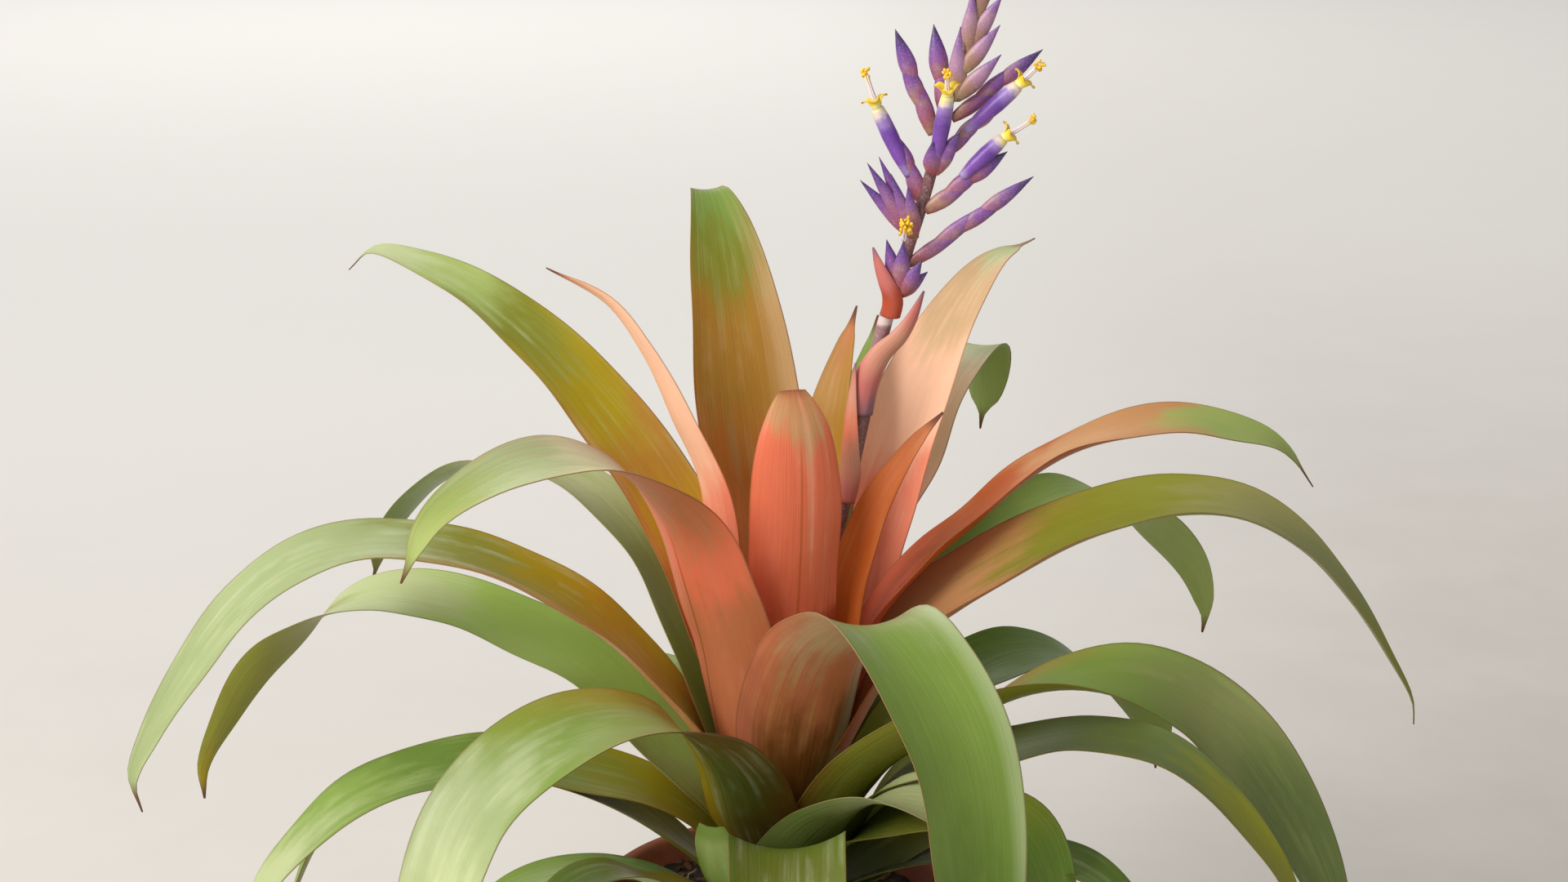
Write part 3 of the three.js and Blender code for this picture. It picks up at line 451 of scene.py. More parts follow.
# Each leaf, from the heart outward. kind: coral, tan or green, the sort of leaf. turn: its compass angle at
# base and tip. wide, cup: its width and the angle of its channel. neck, blunt: the length over which it
# widens, and how late it narrows. tip: the width of its end. roll, twist: how far it turns by its middle and
# by its tip, and between which shares of its length. path: the line of its middle, as (distance from the
# pot's axis, height). upper, under: pigments of the inner and outer face from base to tip. far, near: a tinge
# of one margin, with its start across the blade, strength and reach. crease_shade: painted shade, a dark line
# along a fold that the blade's shape leaves out, with pigment, place across and reach. streaks_and_sheen:
# the pale streaks, partly the blade's own streaks and partly painted satin highlight. rim: the margin. dry,
# end: the length and pigment of the point. A row gives only what differs from STRAP.
STRAP = dict(kind="green", cup=60, neck=65, blunt=2, tip=2, roll=(0, 0), twist=(0.35, 1), streaks_and_sheen="silver",
             rim="brown", dry=13, end="dry")
# The dark pigments at the foot of many rows (ember, umber, brown, shade) are partly the blades' own dark
# bases and partly painted shade in the heart of the rosette.
LEAVES = [
    dict(name="bud_front", kind="coral", turn=(-80, -75), wide=60, cup=85, blunt=8, tip=16,
         path=[(34, 150), (44, 219), (54, 300), (50, 340), (38, 362)],
         upper="ember rust amber*2 fawn", under="brown*4 ember brick coral*5 fawn clay", streaks_and_sheen="peach",
         dry=3, end="ember", crease_shade=("rust", 0.06, 0.8)),
    dict(name="tall_back_left", kind="tan", turn=(91, 107), wide=74, blunt=3.2, neck=190, tip=16,
         path=[(25, 160), (32, 225), (45, 276), (65, 325), (88, 374), (128, 434), (154, 449), (164, 443)],
         # The bright orange at its foot is partly painted light: lighter than the blade, where it lies in
         # shade behind the bud.
         upper="orange*5 amber bronze*2 olive green*2", under="rust coral salmon peach tan sage",
         far=("tan", 0.45, 0.55, 0.75), streaks_and_sheen="tan", end="husk"),
    dict(name="narrow_back", kind="coral", turn=(60, 58), wide=56, cup=50, blunt=1.8, neck=150,
         path=[(38, 180), (47, 258), (57, 297), (67, 332), (97, 386)],
         upper="rust clay bronze*3 clay", under="rust coral tan", streaks_and_sheen="tan"),
    dict(name="back_upper", kind="coral", turn=(64, 62), wide=44, neck=120,
         path=[(43, 180), (70, 247), (95, 294), (118, 331), (133, 352), (142, 370)],
         upper="rust amber olive green*2", under="rust salmon sage"),
    dict(name="narrow_right", kind="coral", turn=(-18, -18), wide=34, blunt=1.8, roll=(72, 80),
         path=[(36, 160), (45, 227), (54, 257), (64, 286), (81, 316), (93, 333), (105, 347)],
         upper="rust*3 clay", under="ember clay amber clay rust", streaks_and_sheen="fawn"),
    dict(name="tall_right", kind="coral", turn=(50, 50), wide=70, neck=120, roll=(5, 5),
         path=[(48, 140), (74, 194), (96, 244), (122, 288), (151, 332), (191, 374), (227, 396), (275, 404)],
         upper="rust coral*2 salmon*3 peach*2 tan*2 sage tan", under="rust coral salmon peach",
         streaks_and_sheen="apricot", dry=26, end="husk"),
    dict(name="narrow_left", kind="coral", turn=(184, 174), wide=50, cup=70, blunt=1.8, neck=240,
         roll=(35, 35),
         path=[(32, 180), (43, 290), (61, 333), (81, 375), (102, 404), (140, 425)],
         upper="rust amber gold tan*2", under="brick coral salmon*3 peach*3 clay", streaks_and_sheen="peach"),
    dict(name="folded_back_right", kind="tan", turn=(70, 55), wide=60, cup=50, blunt=6, neck=150,
         path=[(72, 160), (116, 236), (149, 272), (179, 311), (213, 331), (242, 331), (252, 309), (247, 271)],
         # Its pale apricot and cream are partly painted light, lighter than the blade, which faces away from
         # the key light.
         upper="apricot peach apricot peach apricot cream*2 sage lime olive",
         under="apricot*3 cream*2 sage lime*2", streaks_and_sheen="lime"),
    dict(name="high_left", kind="tan", turn=(150, 150), wide=52, cup=50, blunt=2.6, neck=170,
         roll=(-30, -20),
         path=[(37, 165), (62, 240), (90, 282), (126, 321), (169, 357), (220, 387), (273, 404), (310, 407),
               (330, 392)],
         upper="rust clay amber gold bronze mustard olive lime sage*2",
         under="coral salmon peach cream sage", near=("clay", 0.7, 0.5, 0.4), streaks_and_sheen="sage", dry=18),
    dict(name="back_left_upper", kind="tan", turn=(104, 104), wide=56,
         path=[(52, 145), (82, 215), (115, 242), (150, 235), (190, 192), (215, 135)],
         upper="olive green*3 lime", under="tan sage green*2"),
    dict(name="coral_right", kind="coral", turn=(8, 12), wide=50, cup=80, blunt=3.6, roll=(-8, 26),
         twist=(0.6, 0.86),
         path=[(40, 140), (68, 204), (99, 238), (125, 258), (157, 284), (192, 303), (228, 313), (262, 316),
               (296, 310), (325, 300), (340, 288), (355, 268)],
         upper="salmon*2 coral*2 rust*2 fawn*2 lime*2 olive",
         under="coral*2 brick rust*3 clay olive lime olive", streaks_and_sheen="fawn", dry=20),
    dict(name="folded_front_left", kind="coral", turn=(230, 226), wide=80, blunt=1.9, roll=(0, -20),
         path=[(32, 110), (42, 161), (49, 196), (64, 242), (80, 282), (112, 316), (150, 338), (192, 346),
               (233, 342), (267, 328), (287, 300)],
         upper="clay coral salmon peach tan cream sage lime*2", under="clay*4 coral clay*2 rose tan sage*2",
         far=("salmon", 0.5, 0.6, 0.45), streaks_and_sheen="rose", crease_shade=("brown", -0.5, 0.38)),
    dict(name="broad_front", kind="tan", turn=(279, 299.5), wide=76, cup=70, blunt=2.8, neck=110,
         roll=(-5, 0),
         path=[(40, 90), (48, 119), (58, 160), (80, 202), (112, 233), (145, 247), (178, 231), (205, 200),
               (220, 157), (228, 108), (236, 32), (238, -40), (236, -70)],
         upper="umber amber fawn willow green*2 fern moss fern green",
         under="umber brown clay tan rose*3 tan sage green", far=("salmon", 0.55, 0.5, 0.2),
         # The silver tinge of its near margin is a painted highlight.
         near=("silver", 0.8, 0.3, 0.6), streaks_and_sheen="lime"),
    dict(name="back_right_middle", turn=(36, 36), wide=50, blunt=4, neck=120, roll=(10, -40),
         twist=(0.6, 0.9),
         path=[(60, 130), (122, 198), (157, 219), (200, 235), (247, 242), (297, 223), (344, 188),
               (372, 155), (382, 127), (380, 112)],
         upper="moss fern*3 green lime*3", under="moss olive green lime*2", streaks_and_sheen="olive"),
    dict(name="back_left_middle", kind="tan", turn=(150, 150), wide=58, blunt=5, roll=(8, 0),
         path=[(38, 112), (66, 172), (82, 203), (102, 236), (133, 262), (163, 273), (192, 277), (220, 274),
               (247, 262), (278, 241), (305, 210), (324, 172)],
         # Its bright gold, apple and lime are partly painted light, lighter than the blade where it lies in
         # shade.
         upper="gold apple*2 lime sage lime*2 olive*2", under="tan cream sage*2 green olive", streaks_and_sheen="green"),
    dict(name="long_right", kind="tan", turn=(2, -4), wide=84, cup=88, blunt=1.6, roll=(7, 10),
         path=[(45, 120), (82, 190), (117, 221), (156, 247), (201, 271), (245, 283), (285, 281), (321, 261),
               (353, 227), (378, 190), (395, 160), (397, 145)],
         upper="rust amber fawn*2 olive*2 drab grey olive*2",
         under="ember rust amber clay olive grey*3 sage", near=("clay", 0.5, 0.7, 0.3), streaks_and_sheen="olive",
         dry=12),
    dict(name="back_middle", turn=(88, 88), wide=58,
         path=[(45, 100), (90, 150), (150, 178), (215, 170), (275, 130), (310, 70)],
         upper="olive green*2 lime green", under="tan sage green*2"),
    dict(name="back_right_low", turn=(35, 35), wide=56, blunt=5, roll=(10, -40), twist=(0.6, 0.9),
         path=[(50, 72), (95, 112), (166, 134), (209, 136), (262, 116), (308, 86), (330, 50), (333, 20)],
         upper="moss olive fern*2 olive*2", under="moss fern grey green", streaks_and_sheen="olive"),
    dict(name="long_left", kind="tan", turn=(190, 186), wide=66, cup=70, blunt=1.9, roll=(-7, -50),
         twist=(0.5, 0.95),
         path=[(37, 106), (67, 154), (107, 201), (151, 233), (195, 252), (249, 260), (294, 249), (329, 223),
               (360, 185), (386, 145), (400, 114), (396, 92)],
         upper="rust amber gold*2 mustard olive willow*6", under="clay amber fawn*2 olive sage*2 olive*2",
         near=("fawn", 0.2, 0.7, 0.4), dry=20),
    dict(name="twisted_left", turn=(165, 165), wide=60, blunt=1.8, roll=(-14, 52), twist=(0.58, 0.84),
         path=[(45, 78), (82, 114), (120, 155), (169, 178), (214, 192), (259, 196), (298, 184), (331, 160),
               (363, 130), (387, 94), (405, 58), (406, 35)],
         upper="olive lime apple*3 sage*2 olive mustard*3", under="sage*2 silver sage olive*3 mustard",
         streaks_and_sheen="lime"),
    dict(name="broad_left", turn=(253, 227), wide=67, cup=70, blunt=3, neck=48, roll=(-10, -5),
         path=[(52, 88), (68, 123), (100, 160), (138, 182), (175, 187), (212, 178), (245, 155), (267, 126),
               (286, 78), (295, 20), (297, -40)],
         # The pale sage and silver two thirds of the way along its inner face are partly its own silvery
         # colour and partly a painted highlight.
         upper="mustard*3 lime green willow sage silver sage lime",
         under="brown moss umber shade moss fern green", far=("mustard", 0.35, 0.7, 0.35),
         near=("brown", 0.2, 0.5, 0.3)),
    dict(name="low_right", turn=(308, 352), wide=60, cup=70, blunt=3.4, neck=15, roll=(-26, 48),
         twist=(0.27, 0.68),
         path=[(44, 72), (80, 126), (134, 165), (178, 182), (218, 181), (254, 165), (288, 138), (316, 102),
               (336, 66), (352, 28), (368, -28)],
         upper="olive mustard olive green grey slate*3", under="brown olive*4 grey",
         near=("fawn", 0.6, 0.5, 0.3), streaks_and_sheen="lime"),
    dict(name="back_low_left", turn=(125, 125), wide=56,
         path=[(45, 60), (95, 105), (150, 122), (205, 105), (245, 65)],
         upper="olive green*2 lime green", under="tan sage green*2"),
    dict(name="back_low", turn=(85, 85), wide=56,
         path=[(45, 75), (95, 120), (155, 140), (215, 125), (265, 80), (285, 30)],
         upper="olive fern green*3", under="tan sage green*2"),
    dict(name="front_right_behind", turn=(305, 325), wide=62, neck=18, roll=(12, 4),
         path=[(50, 58), (80, 84), (110, 100), (146, 112), (176, 108), (194, 84), (205, 38), (210, -30)],
         upper="shade moss olive fern green fern", under="shade moss grey fern", streaks_and_sheen="green"),
    dict(name="dark_right", turn=(332, 337), wide=58, blunt=1.2, roll=(8, 10),
         path=[(48, 56), (83, 109), (159, 142), (202, 157), (246, 156), (281, 138), (310, 109), (327, 85),
               (340, 50), (347, 4)],
         upper="olive moss*2 slate*2 olive*3", under="moss*2 olive*3", streaks_and_sheen="olive"),
    dict(name="low_left", turn=(188, 193), wide=60, blunt=2.4, neck=45, roll=(-10, -10),
         path=[(45, 62), (79, 90), (120, 107), (161, 118), (196, 122), (233, 118), (269, 105), (300, 79),
               (324, 50), (342, 7), (348, -20)],
         upper="mustard*2 olive fern*2 green sage*2 silver", under="olive*3 mustard grey", streaks_and_sheen="sage"),
    dict(name="under_left", turn=(196, 182), wide=52, neck=25, roll=(-8, 0),
         path=[(36, 28), (60, 54), (96, 85), (128, 103), (172, 113), (215, 109), (256, 92), (286, 66),
               (305, 31), (320, -15), (329, -62)],
         upper="mustard*2 olive fern green*2 lime", under="olive grey sage fern olive*2 mustard"),
    dict(name="lowest_right", turn=(335, 335), wide=50, cup=50,
         path=[(50, 34), (85, 54), (120, 68), (165, 78), (205, 76), (236, 56), (258, 24), (266, -10)],
         upper="shade*2 moss fern*2 grey", under="shade moss grey"),
    dict(name="front_arched", turn=(278, 322), wide=60, cup=70, blunt=2.5, neck=30,
         path=[(52, 63), (80, 101), (108, 119), (136, 117), (162, 99), (180, 70), (190, 27), (194, -22)],
         # Its pale lime and sage are partly painted light, lighter than the blade, which lies in shade under
         # the arch.
         upper="lime*2 sage*2 lime fern", under="lime*2 sage lime sage green", streaks_and_sheen="lime"),
    dict(name="front_short", turn=(276, 272), wide=72, cup=80, blunt=3,
         path=[(50, 43), (85, 76), (120, 103), (150, 114), (178, 105), (195, 72), (203, 20), (206, -50)],
         upper="moss olive fern moss fern*2 green", under="shade moss fern*2"),
    dict(name="lowest_front_left", turn=(234, 224), wide=44,
         path=[(50, 30), (75, 45), (104, 58), (135, 76), (166, 77), (200, 58), (225, 20)],
         upper="olive mustard olive fern*2 green", under="olive sage green"),
    dict(name="lowest_left", turn=(203, 203), wide=40, cup=50,
         path=[(50, 24), (84, 42), (116, 54), (148, 58), (180, 53), (205, 38), (228, 14)],
         upper="moss fern green*2 grey", under="moss fern grey"),
    dict(name="short_right", turn=(350, 352), wide=68, cup=70, roll=(26, 26),
         path=[(45, 34), (80, 61), (112, 75), (140, 77)],
         upper="umber moss olive fern", under="umber moss fern"),
    dict(name="lowest_back", turn=(60, 58), wide=50,
         path=[(50, 45), (90, 85), (140, 102), (190, 90), (230, 52), (245, 15)],
         upper="moss fern green*2 grey", under="moss sage green"),
    dict(name="stub_front", kind="tan", turn=(252, 249), wide=32, cup=110, blunt=7, tip=16,
         path=[(45, 26), (72, 42), (92, 66), (104, 92), (109, 110)],
         upper="moss olive green sage", under="moss fern green lime", end="green"),
]


def ease(x):
    t = np.clip(x, 0.0, 1.0)
    return t * t * (3 - 2 * t)


def facing(grid):
    """The direction that a sheet faces at each of its points."""
    return unit(np.cross(np.gradient(grid, axis=0), np.gradient(grid, axis=1)))


def per_ring(line, *values):
    return (np.broadcast_to(value, len(line))[:, None] for value in values)


def channelled(line, side, width, cup, roll, columns):
    """A grid of points on a channelled sheet along a line, and the place across it of each column."""
    along = unit(np.gradient(line, axis=0))
    side = unit(side - along * (side * along).sum(1)[:, None])
    inner = np.cross(along, side)
    width, cup, roll = per_ring(line, width, cup, np.radians(roll))
    side, inner = side * np.cos(roll) + inner * np.sin(roll), inner * np.cos(roll) - side * np.sin(roll)
    across = np.sin(np.linspace(-1, 1, columns + 1) * math.pi / 2)
    angle = across * cup / 2
    radius = width / cup
    grid = (line[:, None] + side[:, None] * (radius * np.sin(angle))[..., None]
            + inner[:, None] * (radius * (1 - np.cos(angle)))[..., None])
    return grid, across


def ring_round(grid, across, thick, edge):
    """Closes a grid into rings: its inner face, one rounded margin, its outer face and the other margin."""
    thick, edge = per_ring(grid, thick, edge)
    half = facing(grid) * (mix(edge, thick, 1 - np.abs(across) ** 3) / 2)[..., None]
    upper, under = grid + half, grid - half
    out = unit(grid[:, [-1, 0]] - grid[:, [-2, 1]]) * edge[..., None] * 0.55
    margins = grid[:, [-1, 0]] + out
    rings = np.concatenate([upper, margins[:, :1], under[:, ::-1], margins[:, 1:]], axis=1)
    place = np.concatenate([across, [1.0], across[::-1], [-1.0]])
    face = np.concatenate([np.zeros(len(across)), [0.5], np.ones(len(across)), [0.5]])
    return rings, place, face


def leaf_rings(leaf, rank, phase):
    """Rings of one blade, each point's place across and face, each ring's share, and the length."""
    seat = mix(SEAT_TOP, SEAT_BOTTOM, rank / (len(LEAVES) - 1))
    heights, radii = zip(*CROWN)
    clasp = (np.interp(seat, heights, radii) - SEAT_DEPTH, seat)
    profile, length = smooth_line([clasp, *leaf["path"]], LEAF_ROWS)
    reach, height = profile.T
    t = np.linspace(0, 1, LEAF_ROWS + 1)
    heading = np.radians(mix(*leaf["turn"], ease(1.6 * t)))
    steep = np.maximum(0.25, unit(np.gradient(profile, axis=0))[:, 1])
    base = mix(SEAT_WIDTH, leaf["wide"], ease(t * length / leaf["neck"]))
    narrowing = np.maximum(0, (t - NARROWS_FROM) / (1 - NARROWS_FROM)) ** leaf["blunt"]
    width = mix(leaf["tip"], base, 1 - narrowing)
    if leaf["tip"] < POINT_FOOT:
        left = (1 - t) * length
        spine = mix(POINT_END, POINT_FOOT, (left / leaf["dry"]).clip(0, 1))
        width = mix(spine, width, ease((left - leaf["dry"] * 0.6) / 15))
    hug = width * steep / np.maximum(reach, 12)
    cup = mix(hug, np.radians(leaf["cup"]) * mix(1, 0.6, t), ease((reach - OPENS_FROM) / OPENS_OVER))
    by_middle, by_tip = leaf["roll"]
    start, end = leaf["twist"]
    roll = mix(by_middle * ease(t / 0.35), by_tip, ease((t - start) / (end - start)))
    line = np.stack([reach * np.cos(heading), reach * np.sin(heading), LEVEL + height], axis=1)
    side = np.stack([-np.sin(heading), np.cos(heading), 0 * heading], axis=1)
    grid, across = channelled(line, side, width, cup, roll, LEAF_COLUMNS)
    travelled = (t * length)[:, None]
    at_margin = np.abs(across) ** 2.5 * np.sin(travelled / RIPPLE_STEP + phase + np.sign(across) * 0.9)
    ripple = RIPPLE * at_margin + WAVE * across * np.sin(travelled / WAVE_STEP + 2 * phase)
    ripple = ripple * ease((travelled - FLAT_FOOT) / 80) * (width[:, None] / leaf["wide"])
    grid = grid + facing(grid) * ripple[..., None]
    thick = mix(LEAF_THICK, LEAF_EDGE, ease((t - 0.8) / 0.2))
    rings, place, face = ring_round(grid, across, thick, LEAF_EDGE)
    return rings * MM, place, face, t, length


def evenly(run):
    """Colours at even steps, from pigment names such as "tan green*3"."""
    names = []
    for word in run.split():
        name, _, count = word.partition("*")
        names += [name] * int(count or 1)
    return [(k / (len(names) - 1), pigment(PIGMENTS[name])) for k, name in enumerate(names)]


def ramp(amount, stops):
    """A smooth run through colours, from (amount, colour) stops."""
    node = put(amount, "ValToRGB", {"Fac": amount})
    node.color_ramp.interpolation = "EASE"
    marks = node.color_ramp.elements
    for k, (place, _) in enumerate(stops):
        mark = marks[k] if k < 2 else marks.new(place)
        mark.position = place
    for mark, (_, colour) in zip(sorted(marks, key=lambda m: m.position), sorted(stops)):
        mark.color = colour
    return node.outputs["Color"]


def tinged(colour, amount, name):
    return painted(amount, colour, pigment(PIGMENTS[name]))


def plus(total, value, share):
    return worked("MULTIPLY_ADD", value, share, total)


def leaf_skin(leaf, length, seed):
    """Living skin: pigments from base to tip on each face, long veins, a brown margin and a dry point."""
    made, tree, shader = finish("skin_" + leaf["name"], 0.44, Coat_Weight=0.04, Coat_Roughness=0.34,
                                Specular_IOR_Level=0.24)
    across, along, face = axes(put(tree, "Attribute", attribute_name="blade").outputs["Vector"])
    grain = put(tree, "Attribute", attribute_name="grain").outputs["Vector"]

    def streaks(per_cm, stretch, detail):
        drawn_out = put(tree, "Mapping", {"Vector": grain, "Location": (seed, seed / 3, seed),
                                          "Scale": (per_cm, per_cm * stretch, 1.0)}).outputs[0]
        return cloudy(drawn_out, 1.0, detail)

    def until(share, fade):
        return between(along, share, share + fade, 1.0, 0.0)

    veins, bands, clouds = streaks(9.0, 0.02, 2.0), streaks(1.9, 0.03, 2.0), streaks(0.5, 0.5, 3.0)
    edge = worked("ABSOLUTE", across)
    aged = plus(plus(along, bands, 0.07), clouds, 0.16)
    aged = worked("SUBTRACT", plus(aged, worked("POWER", edge, 3.0), -0.06), 0.13)
    colour = painted(face, ramp(aged, evenly(leaf["upper"])), ramp(aged, evenly(leaf["under"])))
    for key, sign in (("far", -1), ("near", 1)):
        if key in leaf:
            name, start, strength, end = leaf[key]
            reach = plus(times(across, sign), bands, 0.25)
            strip = times(between(reach, start, 1.05, 0.0, strength), until(end, 0.25))
            colour = tinged(colour, strip, name)
    tone = plus(plus(0.88, veins, 0.08), clouds, 0.16)
    colour = put(tree, "HueSaturation", {"Value": tone, "Color": colour}).outputs[0]
    # Pale streaks: partly the leaf's own streaks, partly painted satin highlight.
    pale = times(between(bands, 0.4, 0.75, 0.0, 0.3), between(clouds, 0.4, 0.65))
    colour = tinged(colour, pale, leaf["streaks_and_sheen"])
    scurf = times(between(cloudy(grain, 22.0, 3.0), 0.5, 0.8, 0.0, 0.07), between(face, 0.3, 0.8, 0.2, 1.0))
    colour = painted(scurf, colour, pigment("#e8e4cf"))
    # Painted shade: a dark line along a fold that the blade's shape leaves out.
    if "crease_shade" in leaf:
        name, place, end = leaf["crease_shade"]
        away = worked("ABSOLUTE", worked("ADD", across, -place))
        colour = tinged(colour, times(between(away, 0.01, 0.045, 0.6, 0.0), until(end, 0.15)), name)
    colour = tinged(colour, between(edge, 0.965, 1.0, 0.0, 0.42), leaf["rim"])
    dry_from = 1 - (leaf["dry"] + 4) / length
    dry = between(plus(along, clouds, 0.02), dry_from + 0.01, dry_from + 10 / length + 0.02)
    feed(shader, "Base Color", tinged(colour, dry, leaf["end"]))
    feed(shader, "Roughness", plus(between(clouds, 0.3, 0.7, 0.38, 0.5), dry, 0.3))
    raised(shader, plus(veins, bands, 2.2), 0.4, 0.0005)
    return made


def note_place(piece, place, face, along, length, wide):
    """Stores where each point lies on its blade: as shares of it, and in centimetres for the veins."""
    x, f = np.tile(place, len(along)), np.tile(face, len(along))
    y = np.repeat(along, len(place))
    note(piece, "blade", np.stack((x, y, f), axis=1))
    note(piece, "grain", np.stack((x * wide / 20, y * length / 10, f * 7), axis=1))


for rank, row in enumerate(LEAVES):
    leaf = {**STRAP, **row}
    rings, place, face, along, length = leaf_rings(leaf, rank, 1.7 * rank)
    blade = solid_piece("blade_" + leaf["name"], *ringed(rings), leaf_skin(leaf, length, 3.1 * rank))
    note_place(blade, place, face, along, length, leaf["wide"])
    stands_for(blade, "leaf_" + leaf["kind"], "leaf_" + leaf["name"])

# Bracts on the stalk
# Small leaves that wrap the flower stalk: two long pink ones, and a coral one that holds the lowest spikes.
# Each is given as the compass angle that its outside faces, its width, and the line of its middle as
# (x, y, height).
BRACTS = [
    dict(name="pink_lower", faces=215, wide=24, upper="rose salmon pink", under="pink rose salmon rose pink",
         path=[(38, -6, 284), (41, -7, 300), (42, -8, 318), (44, -9, 341), (48, -8, 371)]),
    dict(name="pink_upper", faces=-70, wide=27, upper="pink rose pink",
         under="mauve pink rose rose pink mauve",
         path=[(54, -8, 338), (57, -8.5, 356), (64, -9, 373), (75, -9, 386), (82, -8, 398), (89, -5, 415)]),
    dict(name="coral", faces=232, wide=21, upper="brick pink mauve", under="brick brick pink pink mauve",
         path=[(66, -6, 399), (67, -7.5, 410), (64, -9, 420), (61, -9, 430), (58, -7, 442)]),
]
BRACT_ROWS = 36
BRACT_COLUMNS = 14
BRACT_THICK = 1.0
BRACT_EDGE = 0.5
WRAP_AT_FOOT = 210
WRAP_AT_TIP = 70

for k, bract in enumerate(BRACTS):
    line, length = smooth_line(bract["path"], BRACT_ROWS)
    t = np.linspace(0, 1, BRACT_ROWS + 1)
    outside = math.radians(bract["faces"])
    side = np.array([-math.sin(outside), math.cos(outside), 0])
    width = mix(0.8, bract["wide"], 1 - np.maximum(0, (t - 0.2) / 0.8) ** 1.15)
    wrap = np.radians(mix(WRAP_AT_FOOT, WRAP_AT_TIP, t))
    grid, across = channelled(line + [0, 0, LEVEL], side, width, wrap, 0, BRACT_COLUMNS)
    rings, place, face = ring_round(grid, across, BRACT_THICK, BRACT_EDGE)
    name = "bract_" + bract["name"]
    look = {**bract, "name": name, "dry": 4, "rim": "mauve", "end": "mauve", "streaks_and_sheen": "pink"}
    piece = solid_piece("stalk_" + name, *ringed(rings * MM), leaf_skin(look, length, 40 + k))
    note_place(piece, place, face, t, length, bract["wide"])
    stands_for(piece, "bract", name)

# Flower spikes
# Short flattened spikes on both sides of the stalk. Each is two rows of keeled bracts that overlap like
# roof tiles, pink where they clasp and violet at the tip, and the open ones show a violet flower tube.
# bracts: (root, tip, how many overlap, width). tube: (start, mouth, width). Points are (x, y, height).
SPIKES = [
    dict(name="lowest_cluster",
         bracts=[((74, -4, 414), (66, -8, 447), 1, 9), ((74, -5, 414), (76, -13, 447), 1, 10),
                 ((75, -5, 413), (87, -13, 435), 1, 9), ((74, -4, 412), (91, -6, 427), 1, 8)]),
    dict(name="left_fan",
         bracts=[((84, -3, 446), (50, -4, 482), 1, 8), ((82, -4, 448), (54, -8, 493), 1, 8),
                 ((82, -3, 450), (61, -4, 496), 1, 7), ((82, -6, 448), (68, -10, 487), 1, 7),
                 ((83, -5, 448), (78, -12, 480), 1, 8)]),
    dict(name="left_flower", bracts=[((87, 0, 468), (70, 0, 510), 2, 9)],
         tube=((79, 0, 484), (60, 0, 524), 10)),
    dict(name="left_upper", bracts=[((93, 2, 508), (70, 2, 570), 3, 9)]),
    dict(name="centre_upper", bracts=[((101, 6, 517), (93, 10, 572), 2, 10)]),
    dict(name="front_flower",
         bracts=[((93, -5, 486), (92, -16, 507), 1, 10), ((94, -5, 486), (108, -16, 513), 1, 9)],
         tube=((94, -8, 492), (100, -20, 534), 10)),
    dict(name="right_upper", bracts=[((104, 2, 517), (157, 4, 558), 3, 8)]),
    dict(name="right_flower", bracts=[((97, -2, 496), (134, -6, 530), 3, 8)],
         tube=((112, -4, 511), (142, -6, 538), 10)),
    dict(name="right_low_flower", bracts=[((89, -2, 463), (137, -4, 499), 3, 9)],
         tube=((110, -5, 484), (134, -6, 507), 10)),
    dict(name="right_lowest", bracts=[((79, -1, 430), (153, -3, 484), 4, 8)]),
    dict(name="top",
         bracts=[((106, 0, 528), (108, -2, 572), 1, 10), ((107, -1, 530), (132, -4, 556), 1, 9),
                 ((109, -1, 545), (131, -3, 573), 1, 9), ((112, 0, 556), (115, -4, 592), 1, 9),
                 ((113, 0, 560), (132, -2, 590), 1, 9), ((115, 1, 570), (121, 2, 606), 1, 9),
                 ((116, 0, 575), (128, 0, 622), 1, 10)]),
]
# How a bract and a tube swell along their length, as (share of the length, share of the width).
BRACT_SWELL = [(0, 0.5), (0.12, 0.78), (0.28, 0.98), (0.4, 1.0), (0.56, 0.84), (0.72, 0.58), (0.87, 0.28),
               (1, 0.03)]
TUBE_SWELL = [(0, 0.5), (0.3, 0.88), (0.6, 1.0), (0.85, 0.92), (0.96, 0.8), (1, 0.74)]
BRACT_KEEL = 0.16
BRACT_FLAT = 0.62
TUBE_FLAT = 0.95
SPIKE_SIDES = 16
SPIKE_ROWS = 22


def raised_up(point):
    return np.array([point[0], point[1], LEVEL + point[2]], float)


def crosswise(axis):
    """Two directions at right angles to an axis: in the plane of the fan of spikes, and out of it."""
    side = unit(np.cross([0.0, 1.0, 0.0], axis))
    return side, np.cross(axis, side)


def spindle(start, end, wide, swell, keel, flat):
    """Rings of a swollen pointed body, flattened across the fan of spikes and keeled on its outer edges."""
    t = np.linspace(0, 1, SPIKE_ROWS)
    half = np.interp(t, *zip(*swell)) * wide / 2
    side, depth = crosswise(unit(end - start))
    rings = []
    for share, r in zip(t, half):
        middle = mix(start, end, share)
        rings.append([middle + side * (r * (1 + keel * abs(c) ** 6) * c) + depth * (r * flat * s)
                      for c, s in circle(SPIKE_SIDES)])
    return rings, t


def overlapping(root, tip, count, wide):
    """Start, end and tone of each bract of a spike, in two rows. Only the first shows a pink foot."""
    root, tip = raised_up(root), raised_up(tip)
    axis = tip - root
    out, _ = crosswise(axis)
    for k in range(count):
        lean = 0 if k == count - 1 else (-0.2 if k % 2 else 0.2) * wide
        start = root + axis * (0.75 * k / count)
        end = root + axis * (mix(0.5, 1, (k + 1) / count) - 0.02 * (count - 1 - k)) + out * lean
        yield start, end, 0.15 if k else 0.0


